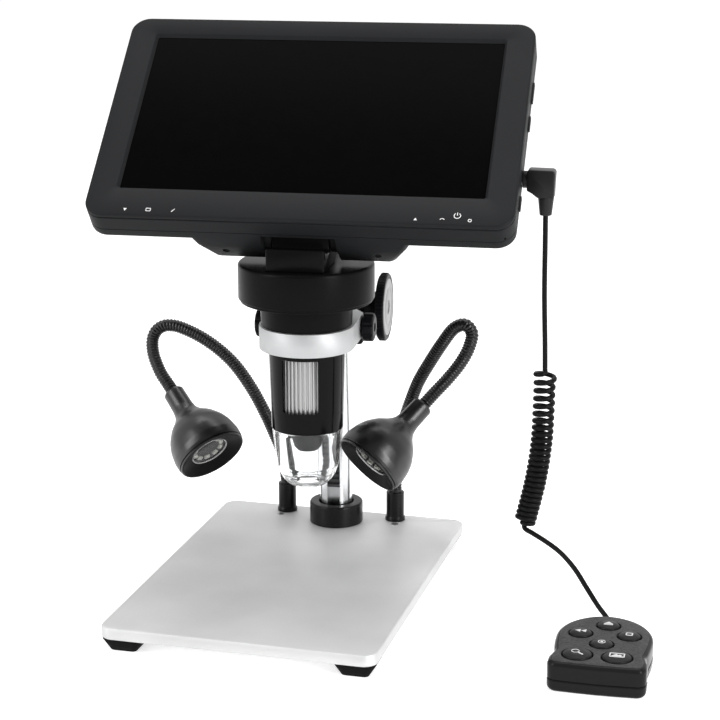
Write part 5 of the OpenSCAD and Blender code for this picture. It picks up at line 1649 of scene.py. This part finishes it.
@dataclass
class Lamp:
    """Gooseneck with a bell-shaped lamp head on its end."""

    name: str
    side: int
    aim: tuple[float, float, float]
    route: tuple[tuple[float, float, float], ...]
    radius: float = 16.6
    length: float = 39.4
    socket_top: float = 25.0
    goose_radius: float = 3.1
    lens_radius: float = 9.0
    lights: int = 10

    def build(self) -> None:
        """Builds the gooseneck, the shell and what is in its mouth."""
        foot = Vector((self.side * LAMP_X, LAMP_Y, self.socket_top))
        path = smooth_path([Vector(p) + foot for p in self.route], 6)
        neck = WORKSHOP.ribs.make(path, self.goose_radius - 0.06, 0.42, 1.35, GOOSE)
        plain = Shape.rod(self.goose_radius, -9.7, 1.6, 0.3, 48).moved(shift(*foot))
        end = Shape.rod(2.9, -0.5, 2.6, 1.4, 32).moved(shift(*path[-1]) @ along(path[-1] - path[-3]))
        neck.join(plain, end)
        neck.stand_for(f"goose_{self.name}", "ribbed", ROW, f"gooseneck_{self.name}", GOOSE, 50)
        spot = ROW @ shift(*path[-1]) @ along(self.aim) @ shift(0, 0, self.length)
        self._shell(spot, f"lamp_{self.name}")
        self._mouth(spot, f"lamp_{self.name}", f"lamp_module_{self.name}")

    def _shell(self, spot: Matrix, body: str) -> None:
        """Turns the bell with the tube that the gooseneck ends in.

        Args:
            spot: the frame of the lamp's mouth.
            body: the body that it rides on.
        """
        r, tail, lens = self.radius, 0.6 - self.length, self.lens_radius
        shell = Shape.lathe(
            [(lens, -3), (r - 1.5, -0.2), (r - 0.8, 0, 0.3), (r - 0.1, -2.5, 2), (r, -5.5, 6),
             (r - 0.8, -10.5, 12), (r - 2.3, -14.6, 12), (r - 5.4, -19.2, 10), (r - 9, -22.6, 8),
             (r - 11, -25.4, 6), (r - 11.6, -29, 6), (r - 11.8, tail + 0.9, 0.4), (r - 12.5, tail, 0.3),
             (3.5, tail, 0.3), (3.5, tail + 3.2), (0, tail + 3.2), (0, -16), (lens, -12)], 128, 8.0,
        )
        shell.cut(Shape.lathe([(r - 1.3, -1.3), (r + 1, -1.3), (r + 1, -0.8), (r - 1.3, -0.8)], 128))
        shell.stand_for(f"lamp_shell_{self.name}", "turned", spot, body, LAMP, 30)

    def _mouth(self, spot: Matrix, body: str, node: str) -> None:
        """Sets the board, its ring of lights, the bright rim and the clear cover.

        Args:
            spot: the frame of the lamp's mouth.
            body: the body that they ride on.
            node: the CAD node that they stand for.
        """
        cup = Shape.lathe(
            [(0, -11.9), (8.95, -11.9), (8.95, -4.2), (8.6, -3.6), (8.1, -5.2, 0.3), (0, -5.2)], 96
        )
        cup.stand_for(node, "cup", spot, body, LAMP_MASK)
        outer, inner = self.radius - 1.5, self.lens_radius + 0.05
        plate = Shape.lathe([(inner, -2.95), (outer, -0.18), (outer, -0.02), (inner, -2.8)], 128)
        plate.place(f"{node}_plate", spot, body, LAMP_MASK)
        light = Shape.box((-1.0, -1.3, -5.3), (1.0, 1.3, -4.3)).bevel(0.2, 1)
        WORKSHOP.ring.make(light, self.lights, 6.5, LED, 18).place(f"{node}_lights", spot, body, LED)
        rim = Shape.lathe([(8.3, -3.6), (8.95, -3.6), (8.95, -2.6, 0.15), (8.3, -2.8, 0.15)], 96)
        rim.place(f"{node}_rim", spot, body, LAMP_RIM)
        cover = Shape.lathe([(0, -3.7), (8.3, -3.7), (8.3, -2.9, 0.2), (4, -2.6), (0, -2.5)], 96)
        cover.place(f"{node}_cover", spot, body, CLEAR)


# ---- Remote control ----


@dataclass
class Remote:
    """Wired remote control: a round end behind and a flared bar in front, with six keys."""

    half_width: float = 19.6
    back: float = 22.6
    height: float = 12.6
    seam: float = 5.0
    gland_height: float = 7.8
    waist: Profile = ((19.4, -6), (18.9, -12), (18.3, -16.5), (18.9, -20), (19.6, -23))
    corner: tuple[float, float] = (15.4, -26.8)
    corner_radius: float = 4.2
    front: Profile = ((-8, -31.4), (0, -31.6), (8, -31.4))
    posts: Profile = ((-12, -22), (12, -22), (-12, 8), (12, 8))
    keys: tuple[tuple[str, tuple[float, float], float], ...] = (
        ("up", (0.4, 10.8), 9.0), ("left", (-9.8, 0.8), 9.0), ("right", (9.8, 1.4), 9.0),
        ("centre", (-0.2, -8.8), 9.0), ("zoom", (-8.5, -21.0), 11.5), ("picture", (7.2, -21.0), 11.5),
    )

    def build(self) -> None:
        """Builds the casing and the keys."""
        self._top()
        self._under()
        for name, place, diameter in self.keys:
            self._key(name, REMOTE @ shift(*place, 0), diameter)
        repaint("remote_board", BOARD)

    def _outline(self) -> list[Vector]:
        """The casing's outline, counter-clockwise from its right side."""
        (cx, cy), r = self.corner, self.corner_radius
        points = [
            (self.half_width * math.cos(math.radians(a)), self.back * math.sin(math.radians(a)))
            for a in range(0, 181, 6)
        ]
        left = [(-x, y) for x, y in self.waist]
        points += [tuple(p) for p in smooth_path([points[-1], *left], 3)[1:]]
        points += [around((-cx, cy), r, math.radians(a)) for a in range(189, 271, 9)]
        points += list(self.front)
        points += [around((cx, cy), r, math.radians(a)) for a in range(270, 352, 9)]
        points += [tuple(p) for p in smooth_path([*reversed(self.waist), (self.half_width, 0)], 3)[:-1]]
        return [Vector(p) for p in points]

    def _loft(self, steps: Iterable[tuple[float, float]]) -> Shape:
        """Skins the outline, drawn in by so much at each height.

        Args:
            steps: pairs of inset and height.

        Returns:
            The skinned shape.
        """
        p = self._outline()
        headings = [(p[(i + 1) % len(p)] - p[i - 1]).normalized() for i in range(len(p))]
        return Shape.loft([
            [(here.x - inset * to.y, here.y + inset * to.x, z) for here, to in zip(p, headings)]
            for inset, z in steps
        ])

    def _top(self) -> None:
        """Moulds the upper half of the casing and lays the leather pad on it."""
        h, s = self.height, self.seam
        rim = [(inset, h - 1.9 + rise) for inset, rise in quarter_round(1.9)]
        top = self._loft([(1.6, s), (0.4, s), (0.1, s + 0.4), *rim])
        top.cut(self._loft([(1.8, s - 1), (1.8, h - 2.2)]))
        for _, (x, y), diameter in self.keys:
            r, end = diameter / 2, h + 0.1
            well = Shape.lathe([(0, 5), (r + 0.2, 5), (r + 0.2, h - 0.5), (r + 0.75, end), (0, end)], 64)
            top.cut(well.moved(shift(x, y, 0)))
        gland = Shape.lathe([(0, -1.6), (2.1, -1.6), (2.0, 0.2, 0.3), (1.55, 1.3, 0.4), (0, 1.3)], 40)
        top.join(gland.moved(shift(0, self.back, self.gland_height) @ turn(-90, "X")))
        top.stand_for("remote_top", "moulded", REMOTE, "remote", REMOTE_UNDER, 30)
        pad = self._loft([(1.7, h - 0.4), (1.7, h + 0.1), (2.0, h + 0.25)])
        for _, (x, y), diameter in self.keys:
            pad.cut(Shape.rod(diameter / 2 + 0.8, h - 1, h + 1, 0, 64).moved(shift(x, y, 0)))
        pad.place("remote_pad", REMOTE, "remote", REMOTE_TOP)

    def _under(self) -> None:
        """Moulds the lower half of the casing."""
        s = self.seam
        angles = [math.radians(a) for a in range(15, 91, 15)]
        rim = [(2.0 * (1 - math.sin(a)), 2.4 - 2.4 * math.cos(a)) for a in angles]
        under = self._loft([(2.0, 0), *rim, (0, s - 0.5), (0.4, s - 0.1)])
        under.cut(self._loft([(1.7, 1.6), (1.7, s + 1)]))
        under.join(*[Shape.rod(2, 0.8, 6, 0, 24).moved(shift(x, y, 0)) for x, y in self.posts])
        under.stand_for("remote_bottom", "moulded", REMOTE, "remote", REMOTE_UNDER, 30)

    def _key(self, name: str, spot: Matrix, diameter: float) -> None:
        """Moulds a domed key and prints its symbol.

        Args:
            name: the key's name.
            spot: its frame.
            diameter: its diameter.
        """
        r, h, node = diameter / 2, self.height, f"key_{name}"
        key = Shape.lathe(
            [(0, 8.1), (1.5, 8.1), (1.5, 10.15), (r + 0.15, 10.15), (r + 0.15, 10.9), (r, 10.9),
             (r, h + 0.75, 0.8), (r * 0.55, h + 1.25, 3), (0, h + 1.4)], 64, 10.0,
        )
        key.stand_for(node, "domed", spot, node, KEY, 40)
        parts = self._symbol(name, Stamp(h + 1.32, h + 1.44))
        parts[0].join(*parts[1:]).place(f"{node}_symbol", spot, node, KEY_MARK)

    @staticmethod
    def _symbol(name: str, stamp: Stamp) -> list[Shape]:
        """The parts of a key's plain symbol.

        Args:
            name: the key's name.
            stamp: what prints them.

        Returns:
            The parts, which lie beside or over each other.
        """
        if name == "up":
            head = stamp.fill((-1.9, -0.5), (1.9, -0.5), (0, 1.7))
            return [head, stamp.bar((-1.9, -1.2), (1.9, -1.2), 0.6)]
        if name == "left":
            return [stamp.fill((x, -1.4), (x, 1.4), (x - w, 0)) for x, w in ((-0.1, 2.2), (2.2, 2.1))]
        if name == "right":
            return stamp.frame((-1.2, -1.3), (1.2, 1.0), 0.55)
        if name == "centre":
            return [stamp.arc((0, 0), 1.4), Shape.rod(0.6, stamp.low, stamp.high, 0, 20)]
        if name == "zoom":
            return [stamp.arc((-0.8, 0.6), 1.5), stamp.bar((0.3, -0.5), (2.4, -2.3), 0.7)]
        hills = stamp.fill((-2.2, -1.1), (-0.4, 0.9), (0.5, 0.0), (1.2, 0.6), (2.3, -1.1))
        return [*stamp.frame((-2.8, -1.7), (2.8, 1.7), 0.55), hills]


# ---- Microscope ----

LEFT_ROUTE = (
    (0, 0, 0), (-1, -0.5, 8), (-2.5, -1, 16), (-6, -2, 25.5), (-9.5, -4, 35), (-15.5, -6, 47.5),
    (-23.5, -9.5, 60.5), (-34, -13, 70.5), (-45, -16.5, 77), (-52, -18.5, 78.5), (-56.5, -20, 76.5),
    (-58.5, -21.5, 72), (-57.5, -23.5, 65.5), (-53.8, -25.5, 58), (-49.7, -27, 53), (-46.5, -29, 50),
)
RIGHT_ROUTE = (
    (0, 0, 0), (0.5, -0.3, 10.5), (1.5, -1, 23.5), (4.5, -2.5, 35), (8.5, -4.5, 46.5), (12.5, -6, 56.5),
    (18.5, -8, 67), (24.5, -10.5, 76.5), (30, -12, 84), (35.5, -13.5, 86.5), (39, -14.5, 83),
    (38, -16, 76.5), (34.5, -17.5, 69.5), (29.5, -19.3, 62.7), (23.5, -22.2, 55.8), (19.8, -25.5, 51.5),
)


def main() -> None:
    """Builds the studio and every sub-assembly in order."""
    logging.basicConfig(level=logging.INFO, format="%(name)s %(message)s")
    left = Lamp("left", -1, (26, -18, -25), LEFT_ROUTE)
    right = Lamp("right", 1, (-21, -24, -24), RIGHT_ROUTE)
    assemblies = (
        Studio(), Cord(), Base(), Carriage(), FocusKnob(), ClampScrew(), OpticalHead(), Screen(), left, right,
        Remote(),
    )
    for assembly in assemblies:
        LOG.info("building %s", type(assembly).__name__)
        assembly.build()


if __name__ == "__main__":
    main()
